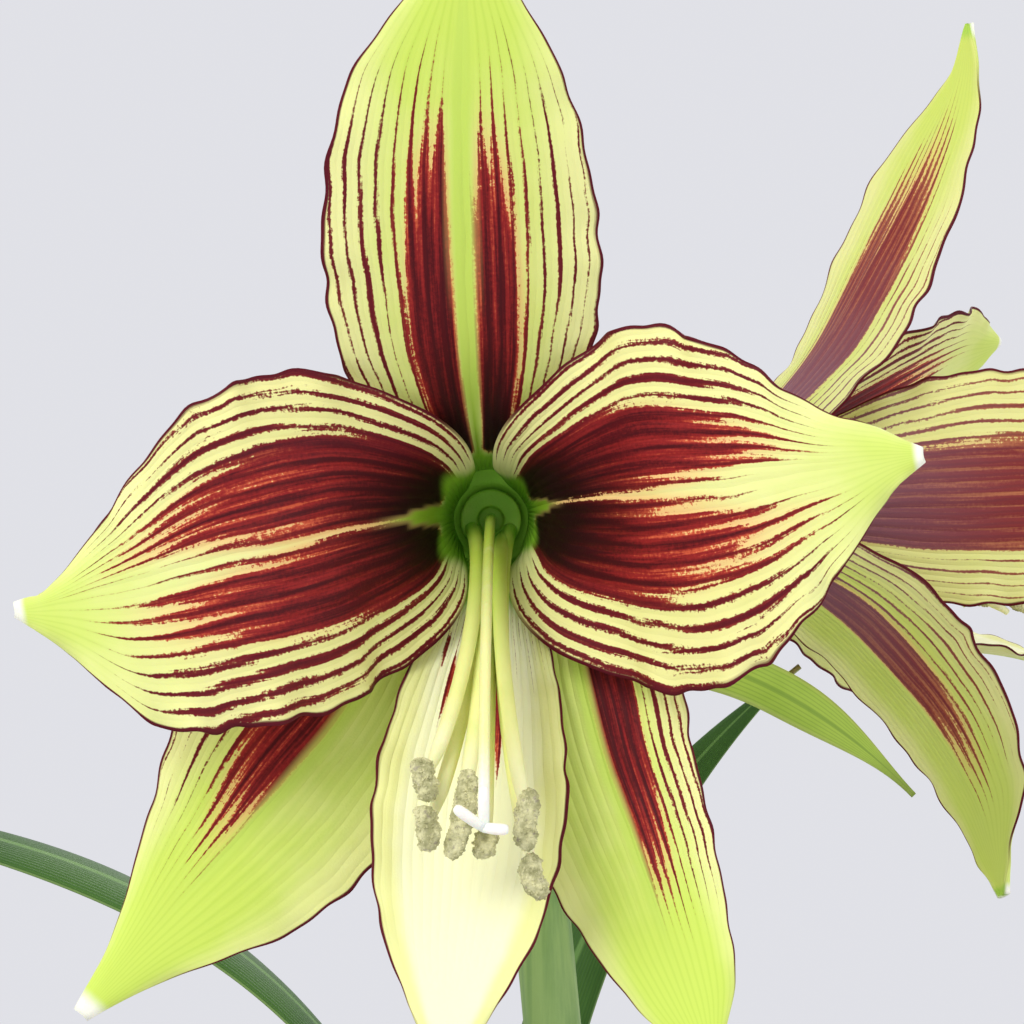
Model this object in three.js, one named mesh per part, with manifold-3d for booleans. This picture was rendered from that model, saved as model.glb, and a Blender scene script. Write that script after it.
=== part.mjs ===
// Potted papilio amaryllis, Hippeastrum papilio, in flower
// Millimetres, +Z up. The origin is the centre of the pot's flat underside.
// The first flower looks along -Y and the second one looks along +X, a little to the back.

import * as THREE from 'three';
import { mergeVertices } from 'three/addons/utils/BufferGeometryUtils.js';
import Module from 'manifold-3d';

const wasm = await Module();
wasm.setup();

// Driving dimensions

// Room left round what stands in a hole
const GAP = 0.4;

const POT = {
  height: 132, baseRadius: 52, topRadius: 69, rimRadius: 73, rimHeight: 21,
  wall: 5, floor: 7, bevel: 1.5, drainRadius: 5, drainCircle: 27, drains: 3, sides: 36,
};

const SOIL = { level: 117, lump: 1.6, rings: 3, sides: 32 };

const BULB = { base: 70, waist: 108, radius: 38, neckRadius: 23, top: 166, sides: 28 };

const ROOT = { count: 6, radius: 2.2, reach: 40, lowest: 22, sides: 5, steps: 5 };

const SCAPE = {
  foot: [9, -13.5, 156], top: [-11.3, 0, 406],
  footHalf: [6.4, 6.6], topHalf: [5.3, 6.4], sides: 16, steps: 8,
};

const LEAF = {
  thickness: 1.5, rimThickness: 0.8, channelRadius: 34, tipShare: 0.07, tipFrom: 0.62, steps: 15, across: 4,
};

const TEPAL = { thickness: 1.0, rimThickness: 0.7, tipThickness: 1.3, steps: 21 };

// Waves of a tepal's rim along its length
const RUFFLE = { longWaves: 8, shortWaves: 13.85 };

// Fractions of a tepal's length at which its form is given
const STATIONS = [0, 0.16, 0.32, 0.48, 0.64, 0.8, 0.92, 1];

// Fractions of a tepal's half width at which its section has a point
const ACROSS = [-1, -0.82, -0.45, 0, 0.45, 0.82, 1];

const FILAMENT = {
  radius: 1.15, sides: 5, steps: 6, ringInner: 2.2, ringOuter: 5.2, ringFrom: -24.2, ringTo: -22,
  firstTurn: 205, lastTurn: 335, files: 3, fileStep: 1, layerStep: 1,
};

const ANTHER = { halfWidth: 1.7, halfDepth: 1.1 };

const STYLE = { radius: 0.85, lobeRadius: 0.8, sides: 5, steps: 8 };

// Tepals: reach is the midrib's distance from the flower's axis and rise its distance ahead of the
// throat. left and right are the half widths on the two sides. angle turns about the axis.

const FRONT_TEPALS = {
  top: {
    reach: [9.0, 12.0, 17.5, 29, 46, 66, 80, 88], rise: [-24, -11, 0, 12, 22, 31, 36, 38],
    left: [6, 10.5, 16, 20.5, 21.6, 17, 6.6, 0.8], right: [6, 10.5, 16, 20.5, 21, 15.8, 7, 0.8],
    angle: [100, 96.5, 92.4], cup: 0.004, roll: 1, ruffle: 0.35, twist: 0,
  },
  left: {
    reach: [6.8, 9.3, 14, 25, 40, 55, 65, 71], rise: [-24, -10, 4, 18, 29, 35, 37, 37],
    left: [6, 12, 21, 26, 25.8, 22, 8, 0.8], right: [6, 11.5, 18.5, 26, 23.8, 10.2, 2.4, 0.8],
    angle: [174, 187, 190.7], cup: 0.002, roll: 1, ruffle: 0.9, twist: 0,
  },
  right: {
    reach: [6.8, 9.3, 14, 25, 38, 50, 59, 65], rise: [-24, -10, 4, 18, 29, 35, 37, 37],
    left: [6, 12, 18.5, 26, 20.6, 9.6, 5, 0.8], right: [6, 14.5, 25.5, 31.5, 28, 16.2, 5.6, 0.8],
    angle: [16, 9, 8.6], cup: 0.002, roll: 1, ruffle: 0.9, twist: 0,
  },
  bottom: {
    reach: [8, 11.2, 18, 30, 46, 62, 74, 81.5], rise: [-24, -12, -2, 8, 19, 29, 35, 38],
    left: [5, 7.5, 9.5, 13.3, 15.6, 12.3, 5.6, 0.8], right: [5, 7.5, 9.5, 13.3, 15.6, 12.3, 5.6, 0.8],
    angle: [271, 266.5, 265.6], cup: 0.03, roll: 0, ruffle: 0.6, twist: 0,
  },
  lower_left: {
    reach: [9.6, 12.8, 19, 32, 50, 68, 85, 97], rise: [-24, -14, -5, 3, 11, 19, 24.5, 27],
    left: [6, 9, 13, 16.5, 18.6, 15.6, 6.4, 1], right: [6, 9, 14, 19, 22.5, 13.6, 4.4, 1],
    angle: [222, 234.5, 230.5], cup: 0, roll: 1, ruffle: 0.4, twist: 0,
  },
  lower_right: {
    reach: [9.6, 12.8, 19, 32, 50, 66, 79, 89], rise: [-24, -14, -5, 3, 11, 19, 24.5, 27],
    left: [6, 9, 13, 15.5, 13.2, 10.8, 7.8, 0.9], right: [6, 9, 13, 16.5, 16, 12.2, 7, 0.9],
    angle: [318, 296, 292.3], cup: 0, roll: 1, ruffle: 0.4, twist: 0,
  },
};

const RIGHT_TEPALS = {
  top: {
    reach: [9.0, 12.0, 17.5, 29, 46, 66, 81, 92.5], rise: [-24, -11, -2.5, 7.8, 18.3, 28.8, 34.5, 37],
    left: [6, 10.5, 18, 25.5, 21.5, 14, 7.6, 0.8], right: [6, 10.5, 12, 12, 16.5, 15, 3, 0.8],
    angle: [96, 92, 92], cup: 0.004, roll: 0.5, ruffle: 0.35, twist: 14,
  },
  left: {
    reach: [6.8, 9.3, 14, 22, 31, 39, 44, 47], rise: [-24, -10, 4, 20, 35, 49, 57, 61],
    left: [6, 10, 15.5, 19.5, 20, 16.5, 7.5, 0.8], right: [6, 10, 16, 22.5, 23.5, 18, 7, 0.8],
    angle: [178, 178.5, 177], cup: 0.012, roll: 1, ruffle: 0.7, twist: 0,
  },
  right: {
    reach: [6.8, 9.3, 14, 22, 30, 38, 42, 44.6], rise: [-24, -10, 4, 20, 34, 47, 55, 59],
    left: [6, 10, 16, 22, 24, 18, 7, 0.8], right: [6, 10, 16, 21, 22, 17, 7, 0.8],
    angle: [30, 42, 48], cup: 0.012, roll: 1, ruffle: 0.7, twist: 0,
  },
  bottom: {
    reach: [8, 11.5, 18, 24, 28, 30, 33, 37], rise: [-24, -12, -1, 16, 33, 48, 58, 64],
    left: [5, 7.5, 9.5, 12.5, 13.6, 11.5, 5.6, 0.8], right: [5, 7.5, 9.5, 12.5, 13.6, 11.5, 5.6, 0.8],
    angle: [275, 278, 278], cup: 0.03, roll: 0, ruffle: 0.6, twist: 0,
  },
  lower_left: {
    reach: [9.6, 12.8, 19, 30, 44, 60, 72, 79], rise: [-24, -14, -4, 9, 20, 27.5, 29.5, 30],
    left: [6, 9, 11, 11, 10.5, 8, 4, 1], right: [6, 9, 15, 24, 22.5, 15, 5, 1],
    angle: [222, 240, 245], cup: 0, roll: 1, ruffle: 0.4, twist: -16,
  },
  lower_right: {
    reach: [9.6, 12.8, 19, 28, 39, 50, 57, 62], rise: [-24, -14, -4, 9, 21, 33, 40, 43],
    left: [6, 9, 12, 13, 13, 9, 6, 0.9], right: [6, 9, 12, 14, 14, 11, 7, 0.9],
    angle: [318, 318, 318], cup: 0, roll: 1, ruffle: 0.4, twist: 0,
  },
};

// Anthers: middle, half length and direction, in the flower's frame of right, up and ahead
const FRONT_ANTHERS = [
  { at: [-9.3, -38.2, 37], half: 3.3, along: [0.04, -1, 0.1] },
  { at: [-9, -45.3, 38], half: 3.4, along: [0.04, -1, 0.1] },
  { at: [-3.9, -43.3, 37.5], half: 6.8, along: [-0.17, -0.98, 0] },
  { at: [-0.4, -47.9, 34.5], half: 2.6, along: [0.1, -0.75, 0.6] },
  { at: [5.9, -43.9, 39], half: 4.6, along: [0, -1, 0.05] },
  { at: [6.9, -52.3, 39], half: 3.5, along: [0.23, -0.97, 0] },
];

const RIGHT_ANTHERS = [
  { at: [-7.6, -16, 38], half: 3.6, along: [0.1, -0.62, 0.78] },
  { at: [-4.4, -18.5, 45], half: 3.8, along: [0, -0.66, 0.75] },
  { at: [-1.2, -18, 38.8], half: 3.4, along: [0, -0.6, 0.8] },
  { at: [2, -19.5, 49], half: 3.6, along: [0, -0.55, 0.83] },
  { at: [5.2, -18, 42], half: 3.8, along: [-0.1, -0.62, 0.78] },
  { at: [8.2, -15.5, 37.5], half: 3.6, along: [-0.1, -0.6, 0.8] },
];

const FLOWERS = [
  {
    name: 'front', throat: [-15.6, -60, 430.7], facing: 0, tepals: FRONT_TEPALS,
    anthers: FRONT_ANTHERS, fan: 0, pistil: [[0, 0, -26.8], [0, 2, 2], [-0.5, -14, 38], [-0.5, -44.5, 44]],
    lobes: [[0, 6.2, 1], [-4.2, 3.2, 1.6], [3.6, 0, 2]],
    stalk: [[-14.2, -2.2, 406.7], [-14.6, -1, 425], [-15.6, -7, 430.7], [-15.6, -21, 430.7]],
  },
  {
    name: 'right', throat: [40, 15, 434], facing: 105, tepals: RIGHT_TEPALS,
    anthers: RIGHT_ANTHERS, fan: 0.55, pistil: [[0, 0, -26.8], [0, 1, 6], [-0.5, -8, 36], [-0.5, -12.5, 60]],
    lobes: [[0, 4.6, 2.4], [-4, -2, 2], [4, -1.6, 2]],
    stalk: [[-8.4, 1.6, 406.7], [-9.6, 1.8, 424], [-11, 1.4, 434], [2.3, 4.9, 434]],
  },
];

// Leaves: the four points of the midrib's curve, widths, and how far the blade turns by its tip
const LEAVES = [
  {
    path: [[5, 6, 156], [-13, 8, 255], [-32, 22, 342], [44, 24, 402]],
    side: 1, ring: 5, footHalf: 6.5, half: 7, turn: -38,
  },
  {
    path: [[-5, 6, 156], [-8, 4, 340], [-60, -6, 372], [-158, -20, 382]],
    side: -1, ring: 5, footHalf: 6.5, half: 9, turn: 14,
  },
  {
    path: [[-9, 6, 156], [-40, 2, 330], [-95, -30, 402], [-190, -60, 275]],
    side: -1, ring: 9, footHalf: 10, half: 15, turn: -6,
  },
  {
    path: [[9, 6, 156], [30, 8, 300], [95, 26, 368], [190, 60, 260]],
    side: 1, ring: 9, footHalf: 10, half: 15, turn: -8,
  },
  {
    path: [[-13.2, 6, 156], [-62, 14, 275], [-120, 48, 315], [-198, 80, 228]],
    side: -1, ring: 13.2, footHalf: 12.5, half: 15.5, turn: 8,
  },
  {
    path: [[13.2, 6, 156], [56, 2, 270], [112, -30, 308], [192, -72, 216]],
    side: 1, ring: 13.2, footHalf: 12.5, half: 15.5, turn: 8,
  },
];

const VALVE = { thickness: 0.9, tipBow: 12, footShare: 0.72, strapShare: 0.64, tipShare: 0.12, steps: 10 };

// Spathe valves: the dry green halves of the bud's wrapper, bent down from the top of the scape.
// across is the blade's crosswise direction at its foot and spread the one it turns to.
const VALVES = [
  {
    path: [[-3.8, -0.6, 398], [-2, -1, 411], [32, -9, 411], [61, -9, 380.5]],
    half: 6.8, bow: 7, across: [0, 1, 0], spread: [0.66, 0.1, 0.75],
  },
  {
    path: [[-18.6, 0.6, 398], [-20.6, 2, 413], [-44, 18, 410], [-56, 32, 376]],
    half: 6.8, bow: 7, across: [0, -1, 0], spread: [-0.5, -0.7, 0.5],
  },
];

const COLOURS = {
  clay: [0xb5683f, 0.85],
  soil: [0x3a2a1e, 0.95],
  tunic: [0x8a5a34, 0.7],
  scape: [0x86a566, 0.5],
  leaf: [0x3f6b2c, 0.45],
  spathe: [0x9cb83c, 0.5],
  stalk: [0x7fa33c, 0.5],
  petal: [0xd3c98a, 0.5],
  sepal: [0xc3d07a, 0.5],
  filament: [0xdfe39a, 0.5],
  pollen: [0x8f8d76, 0.9],
  stigma: [0xf4f2e6, 0.5],
};

const group = new THREE.Group();

// Shapes

const ease = (from, to, x) => THREE.MathUtils.smoothstep(x, from, to);

const mix = THREE.MathUtils.lerp;

const vector = (list) => new THREE.Vector3(...list);

// A smooth curve through the values at STATIONS, read at x
function along(values, x) {
  const last = STATIONS.length - 1;
  let i = 0;
  while (i < last - 1 && x >= STATIONS[i + 1]) i += 1;
  const slope = (j) => {
    const a = Math.max(j - 1, 0);
    const b = Math.min(j + 1, last);
    return (values[b] - values[a]) / (STATIONS[b] - STATIONS[a]);
  };
  const step = STATIONS[i + 1] - STATIONS[i];
  const k = (x - STATIONS[i]) / step;
  const rise = 3 * k ** 2 - 2 * k ** 3;
  const start = (k ** 3 - 2 * k ** 2 + k) * step * slope(i);
  const end = (k ** 3 - k ** 2) * step * slope(i + 1);
  return values[i] * (1 - rise) + values[i + 1] * rise + start + end;
}

function addMesh(name, geometry, colour) {
  const [color, roughness] = COLOURS[colour];
  geometry.computeVertexNormals();
  const material = new THREE.MeshStandardMaterial({ color, roughness, metalness: 0 });
  material.name = colour;
  const mesh = new THREE.Mesh(geometry, material);
  mesh.name = name;
  group.add(mesh);
}

function indexed(positions, triangles) {
  const geometry = new THREE.BufferGeometry();
  geometry.setAttribute('position', new THREE.Float32BufferAttribute(positions, 3));
  geometry.setIndex(triangles);
  return facingOut(geometry);
}

// Turns every face over if the body's volume comes out negative
function facingOut(geometry) {
  const place = geometry.attributes.position;
  const order = geometry.index.array;
  const [a, b, c] = [new THREE.Vector3(), new THREE.Vector3(), new THREE.Vector3()];
  let volume = 0;
  for (let i = 0; i < order.length; i += 3) {
    a.fromBufferAttribute(place, order[i]);
    b.fromBufferAttribute(place, order[i + 1]);
    c.fromBufferAttribute(place, order[i + 2]);
    volume += a.dot(b.cross(c));
  }
  if (volume < 0) {
    for (let i = 0; i < order.length; i += 3) {
      [order[i], order[i + 1]] = [order[i + 1], order[i]];
    }
  }
  return geometry;
}

// A thin closed body over a grid: both faces are split alike and the rim joins them
function blade(rows, columns, pointAt) {
  const positions = [];
  for (const face of [1, -1]) {
    for (let i = 0; i <= rows; i += 1) {
      for (let j = 0; j <= columns; j += 1) {
        positions.push(...pointAt(i, j, face).toArray());
      }
    }
  }
  const layer = (rows + 1) * (columns + 1);
  const at = (i, j) => i * (columns + 1) + j;
  const triangles = [];
  for (let i = 0; i < rows; i += 1) {
    for (let j = 0; j < columns; j += 1) {
      const [a, b, c, d] = [at(i, j), at(i + 1, j), at(i + 1, j + 1), at(i, j + 1)];
      triangles.push(a, b, c, a, c, d);
      triangles.push(a + layer, c + layer, b + layer, a + layer, d + layer, c + layer);
    }
  }
  const rim = [];
  for (let i = 0; i < rows; i += 1) rim.push([at(i, 0), at(i + 1, 0)]);
  for (let j = 0; j < columns; j += 1) rim.push([at(rows, j), at(rows, j + 1)]);
  for (let i = rows; i > 0; i -= 1) rim.push([at(i, columns), at(i - 1, columns)]);
  for (let j = columns; j > 0; j -= 1) rim.push([at(0, j), at(0, j - 1)]);
  for (const [a, b] of rim) {
    triangles.push(a, b + layer, b, a, a + layer, b + layer);
  }
  return indexed(positions, triangles);
}

// The grid body with its middle surface at pointAt(s, t) and the given thickness
function sheet(sValues, tValues, middle, thickness) {
  const small = 0.002;
  return blade(sValues.length - 1, tValues.length - 1, (i, j, face) => {
    const [s, t] = [sValues[i], tValues[j]];
    const lengthwise = middle(s + small, t).sub(middle(s - small, t));
    const crosswise = middle(s, Math.min(t + small, 1)).sub(middle(s, Math.max(t - small, -1)));
    const normal = lengthwise.cross(crosswise).normalize();
    return middle(s, t).addScaledVector(normal, (face * thickness(s, t)) / 2);
  });
}

const steps = (count, from = 0, to = 1) =>
  Array.from({ length: count + 1 }, (_, i) => from + ((to - from) * i) / count);

// A round rod along a curve, its radius given along it, and each end carried on by overrun
function rod(curve, radiusAt, sides, count, overrun = 0) {
  const frames = curve.computeFrenetFrames(count, false);
  const positions = [];
  const triangles = [];
  for (let i = 0; i <= count; i += 1) {
    const centre = curve.getPointAt(i / count);
    if (i === 0) centre.addScaledVector(frames.tangents[i], -overrun);
    if (i === count) centre.addScaledVector(frames.tangents[i], overrun);
    const radius = radiusAt(i / count);
    for (let j = 0; j < sides; j += 1) {
      const turn = (2 * Math.PI * j) / sides;
      const point = centre.clone()
        .addScaledVector(frames.normals[i], radius * Math.cos(turn))
        .addScaledVector(frames.binormals[i], radius * Math.sin(turn));
      positions.push(...point.toArray());
    }
  }
  const at = (i, j) => i * sides + (j % sides);
  for (let i = 0; i < count; i += 1) {
    for (let j = 0; j < sides; j += 1) {
      triangles.push(at(i, j), at(i, j + 1), at(i + 1, j + 1));
      triangles.push(at(i, j), at(i + 1, j + 1), at(i + 1, j));
    }
  }
  for (let j = 1; j < sides - 1; j += 1) {
    triangles.push(at(0, 0), at(0, j + 1), at(0, j));
    triangles.push(at(count, 0), at(count, j), at(count, j + 1));
  }
  return indexed(positions, triangles);
}

// A cubic curve's direction, also a little before its start
function derivative(curve, s) {
  const small = 1e-3;
  return curve.getPoint(s + small).sub(curve.getPoint(s - small)).normalize();
}

const bezier = (points) => new THREE.CubicBezierCurve3(...points.map(vector));

// Joins and cuts

function solid(geometry) {
  const plain = geometry.clone();
  plain.deleteAttribute('normal');
  plain.deleteAttribute('uv');
  const merged = mergeVertices(plain, 1e-4);
  return new wasm.Manifold(new wasm.Mesh({
    numProp: 3,
    vertProperties: new Float32Array(merged.attributes.position.array),
    triVerts: new Uint32Array(merged.index.array),
  }));
}

function geometryOf(body) {
  const mesh = body.getMesh();
  const geometry = new THREE.BufferGeometry();
  geometry.setAttribute('position', new THREE.BufferAttribute(mesh.vertProperties, 3));
  geometry.setIndex(new THREE.BufferAttribute(mesh.triVerts, 1));
  return geometry;
}

// A body of revolution about Z from points of radius and height
function turned(points, sides) {
  const profile = points.map(([radius, height]) => new THREE.Vector2(radius, height));
  const geometry = new THREE.LatheGeometry(profile, sides);
  geometry.rotateX(Math.PI / 2);
  geometry.deleteAttribute('normal');
  geometry.deleteAttribute('uv');
  return facingOut(withoutSlivers(mergeVertices(geometry, 1e-4)));
}

// Drops the triangles that a profile point on the axis leaves with no area
function withoutSlivers(geometry) {
  const kept = [];
  const order = geometry.index.array;
  for (let i = 0; i < order.length; i += 3) {
    const [a, b, c] = order.subarray(i, i + 3);
    if (a !== b && b !== c && c !== a) kept.push(a, b, c);
  }
  geometry.setIndex(kept);
  return geometry;
}

// Pot: a plain tapered clay pot with a rim band and three drain holes beside the centre
const potWallSlope = (POT.topRadius - POT.baseRadius) / POT.height;

const potInnerRadius = (z) => POT.baseRadius - POT.wall + potWallSlope * z;

function makePot() {
  const rimFoot = POT.height - POT.rimHeight;
  const rimLip = 1.5;
  const outer = turned([
    [0, 0],
    [POT.baseRadius - POT.bevel, 0],
    [POT.baseRadius, POT.bevel],
    [POT.baseRadius + potWallSlope * rimFoot, rimFoot],
    [POT.rimRadius - 1, rimFoot + 1],
    [POT.rimRadius, rimFoot + 3],
    [POT.rimRadius, POT.height - rimLip],
    [POT.rimRadius - rimLip, POT.height],
    [potInnerRadius(POT.height) + rimLip, POT.height],
    [potInnerRadius(POT.height), POT.height - rimLip],
    [potInnerRadius(POT.floor), POT.floor],
    [0, POT.floor],
  ], POT.sides);
  let body = solid(outer);
  for (let i = 0; i < POT.drains; i += 1) {
    const turn = (2 * Math.PI * i) / POT.drains;
    const hole = new THREE.CylinderGeometry(POT.drainRadius, POT.drainRadius, 3 * POT.floor, 20);
    hole.rotateX(Math.PI / 2);
    hole.translate(POT.drainCircle * Math.cos(turn), POT.drainCircle * Math.sin(turn), 0);
    body = body.subtract(solid(hole));
  }
  addMesh('pot', geometryOf(body), 'clay');
}

// Leaf: a strap that starts as a channel round the bulb's middle and flattens as it arches over
function leafGeometry(leaf, grow = 0) {
  const curve = bezier(leaf.path);
  const fan = new THREE.Vector3(leaf.side, 0, 0);
  const heading = vector(leaf.path[3]).sub(vector(leaf.path[0])).setZ(0).normalize();
  const middle = (s, t) => {
    const tangent = derivative(curve, s);
    const outward = fan.clone().lerp(heading, ease(0.12, 0.5, s)).normalize();
    const side = new THREE.Vector3(-outward.y, outward.x, 0);
    side.addScaledVector(tangent, -side.dot(tangent)).normalize();
    const upper = new THREE.Vector3().crossVectors(side, tangent).normalize();
    const turn = THREE.MathUtils.degToRad(leaf.turn) * ease(0.15, 0.75, s);
    const e = side.clone().multiplyScalar(Math.cos(turn)).addScaledVector(upper, Math.sin(turn));
    const n = upper.clone().multiplyScalar(Math.cos(turn)).addScaledVector(side, -Math.sin(turn));
    const tip = Math.sqrt(Math.max(1 - ease(LEAF.tipFrom, 1, s) ** 1.6, 0));
    const half = mix(leaf.footHalf, leaf.half, ease(0, 0.4, s)) * Math.max(tip, LEAF.tipShare) + grow;
    const bend = mix(1 / leaf.ring, 1 / LEAF.channelRadius, ease(0.02, 0.4, s));
    const arc = half * Math.abs(t) * bend;
    const point = curve.getPoint(s);
    point.addScaledVector(e, (Math.sign(t) * Math.sin(arc)) / bend);
    return point.addScaledVector(n, (1 - Math.cos(arc)) / bend);
  };
  const thickness = (s, t) => mix(LEAF.thickness, LEAF.rimThickness, t * t) + 2 * grow;
  const rows = grow > 0 ? [-0.003, ...steps(3, 1 / LEAF.steps, 4 / LEAF.steps)] : steps(LEAF.steps);
  return sheet(rows, steps(LEAF.across, -1, 1), middle, thickness);
}

// Scape: the flower stalk, a solid oval stem
function scapeGeometry(grow = 0) {
  const foot = vector(SCAPE.foot);
  const top = vector(SCAPE.top);
  const positions = [];
  const triangles = [];
  const { sides, steps: count } = SCAPE;
  for (let i = 0; i <= count; i += 1) {
    const k = i / count;
    const centre = foot.clone().lerp(top, k);
    centre.z -= i === 0 ? grow : 0;
    centre.x += 1.5 * Math.sin(Math.PI * k);
    const halfX = mix(SCAPE.footHalf[0], SCAPE.topHalf[0], ease(0, 0.5, k)) + grow;
    const halfY = mix(SCAPE.footHalf[1], SCAPE.topHalf[1], ease(0, 0.5, k)) + grow;
    for (let j = 0; j < sides; j += 1) {
      const turn = (2 * Math.PI * j) / sides;
      positions.push(centre.x + halfX * Math.cos(turn), centre.y + halfY * Math.sin(turn), centre.z);
    }
  }
  for (let i = 0; i < count; i += 1) {
    for (let j = 0; j < sides; j += 1) {
      const [a, b] = [i * sides + j, i * sides + ((j + 1) % sides)];
      triangles.push(a, b, b + sides, a, b + sides, a + sides);
    }
  }
  const last = count * sides;
  for (let j = 1; j < sides - 1; j += 1) {
    triangles.push(0, j + 1, j, last, last + j, last + j + 1);
  }
  return indexed(positions, triangles);
}

// Bulb: a round bulb with a thick neck and fleshy roots, its foot grown larger by grow for the soil's hole
function bulbBody(grow = 0) {
  const { base, waist, radius, neckRadius, top, sides } = BULB;
  const profile = [[0, base - 3 - grow], [12 + grow, base - 3 - grow], [14 + grow, base]];
  const arcSteps = 7;
  for (let i = 1; i <= arcSteps; i += 1) {
    const k = i / arcSteps;
    const z = mix(base, top - 12, k);
    const belly = z < waist ? (waist - z) / (waist - base) : (z - waist) / (top - 12 - waist);
    const low = z < waist ? 15 : neckRadius;
    profile.push([mix(radius, low, belly ** 2.2) + grow, z]);
  }
  profile.push([neckRadius - 1 + grow, top - 4], [neckRadius - 4 + grow, top], [0, top]);
  let body = solid(turned(profile, sides));
  for (let i = 0; i < ROOT.count; i += 1) {
    const turn = (2 * Math.PI * (i + 0.15 * Math.sin(5 * i))) / ROOT.count;
    const [x, y] = [Math.cos(turn), Math.sin(turn)];
    const reach = ROOT.reach * (0.72 + 0.12 * Math.sin(3 * i));
    const low = ROOT.lowest + 6 * Math.sin(2 * i);
    const curve = bezier([
      [6 * x, 6 * y, base + 2],
      [12 * x, 12 * y, base - 20],
      [reach * x, reach * y, base - 16],
      [reach * x - 6 * y, reach * y + 6 * x, low],
    ]);
    const rootRadius = (k) => ROOT.radius * (1 - 0.5 * k) + grow;
    body = body.add(solid(rod(curve, rootRadius, ROOT.sides, ROOT.steps, grow)));
  }
  return body;
}

function makeBulb() {
  let body = bulbBody();
  for (const leaf of LEAVES) {
    body = body.subtract(solid(leafGeometry(leaf, GAP)));
  }
  body = body.subtract(solid(scapeGeometry(GAP)));
  addMesh('bulb', geometryOf(body), 'tunic');
}

// Soil: fills the pot to just under the rim, its top lumpy, with a hole round the bulb
function makeSoil() {
  const { level, lump, rings, sides } = SOIL;
  const bottom = POT.floor + GAP;
  const edgeTop = potInnerRadius(level - 4) - GAP;
  const edgeBottom = potInnerRadius(bottom) - GAP;
  const height = (x, y, k) =>
    level + lump * (Math.sin(0.21 * x + 1.3) * Math.cos(0.17 * y) + 0.6 * Math.sin(0.37 * x - 0.29 * y))
    - 3 * k ** 4;
  const positions = [0, 0, height(0, 0, 0)];
  for (let i = 1; i <= rings; i += 1) {
    for (let j = 0; j < sides; j += 1) {
      const turn = (2 * Math.PI * j) / sides;
      const k = i / rings;
      const [x, y] = [edgeTop * k * Math.cos(turn), edgeTop * k * Math.sin(turn)];
      positions.push(x, y, i === rings ? level - 4 : height(x, y, k));
    }
  }
  for (let j = 0; j < sides; j += 1) {
    const turn = (2 * Math.PI * j) / sides;
    positions.push(edgeBottom * Math.cos(turn), edgeBottom * Math.sin(turn), bottom);
  }
  positions.push(0, 0, bottom);
  const at = (i, j) => 1 + (i - 1) * sides + (j % sides);
  const triangles = [];
  for (let j = 0; j < sides; j += 1) {
    triangles.push(0, at(1, j), at(1, j + 1));
    for (let i = 1; i <= rings; i += 1) {
      triangles.push(at(i, j), at(i + 1, j), at(i + 1, j + 1));
      triangles.push(at(i, j), at(i + 1, j + 1), at(i, j + 1));
    }
    triangles.push(at(rings + 1, j), at(rings + 2, 0), at(rings + 1, j + 1));
  }
  const body = solid(indexed(positions, triangles)).subtract(bulbBody(GAP));
  addMesh('soil', geometryOf(body), 'soil');
}

// Spathe valve: a narrow pointed blade folded a little along its middle
function makeValve(name, valve) {
  const curve = bezier(valve.path);
  const middle = (s, t) => {
    const tangent = derivative(curve, s);
    const across = vector(valve.across).lerp(vector(valve.spread), ease(0.1, 0.45, s));
    across.addScaledVector(tangent, -across.dot(tangent)).normalize();
    const upper = new THREE.Vector3().crossVectors(across, tangent).normalize();
    const foot = mix(VALVE.footShare, 1, ease(0, 0.2, s));
    const strap = mix(1, VALVE.strapShare, ease(0.2, 0.7, s));
    const half = valve.half * foot * strap * mix(1, VALVE.tipShare, ease(0.7, 1, s) ** 1.6);
    const bend = mix(1 / valve.bow, 1 / VALVE.tipBow, s);
    const arc = half * Math.abs(t) * bend;
    const point = curve.getPoint(s);
    point.addScaledVector(across, (Math.sign(t) * Math.sin(arc)) / bend);
    return point.addScaledVector(upper, (1 - Math.cos(arc)) / bend);
  };
  const rows = steps(VALVE.steps);
  addMesh(name, sheet(rows, steps(LEAF.across, -1, 1), middle, () => VALVE.thickness), 'spathe');
}

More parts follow.
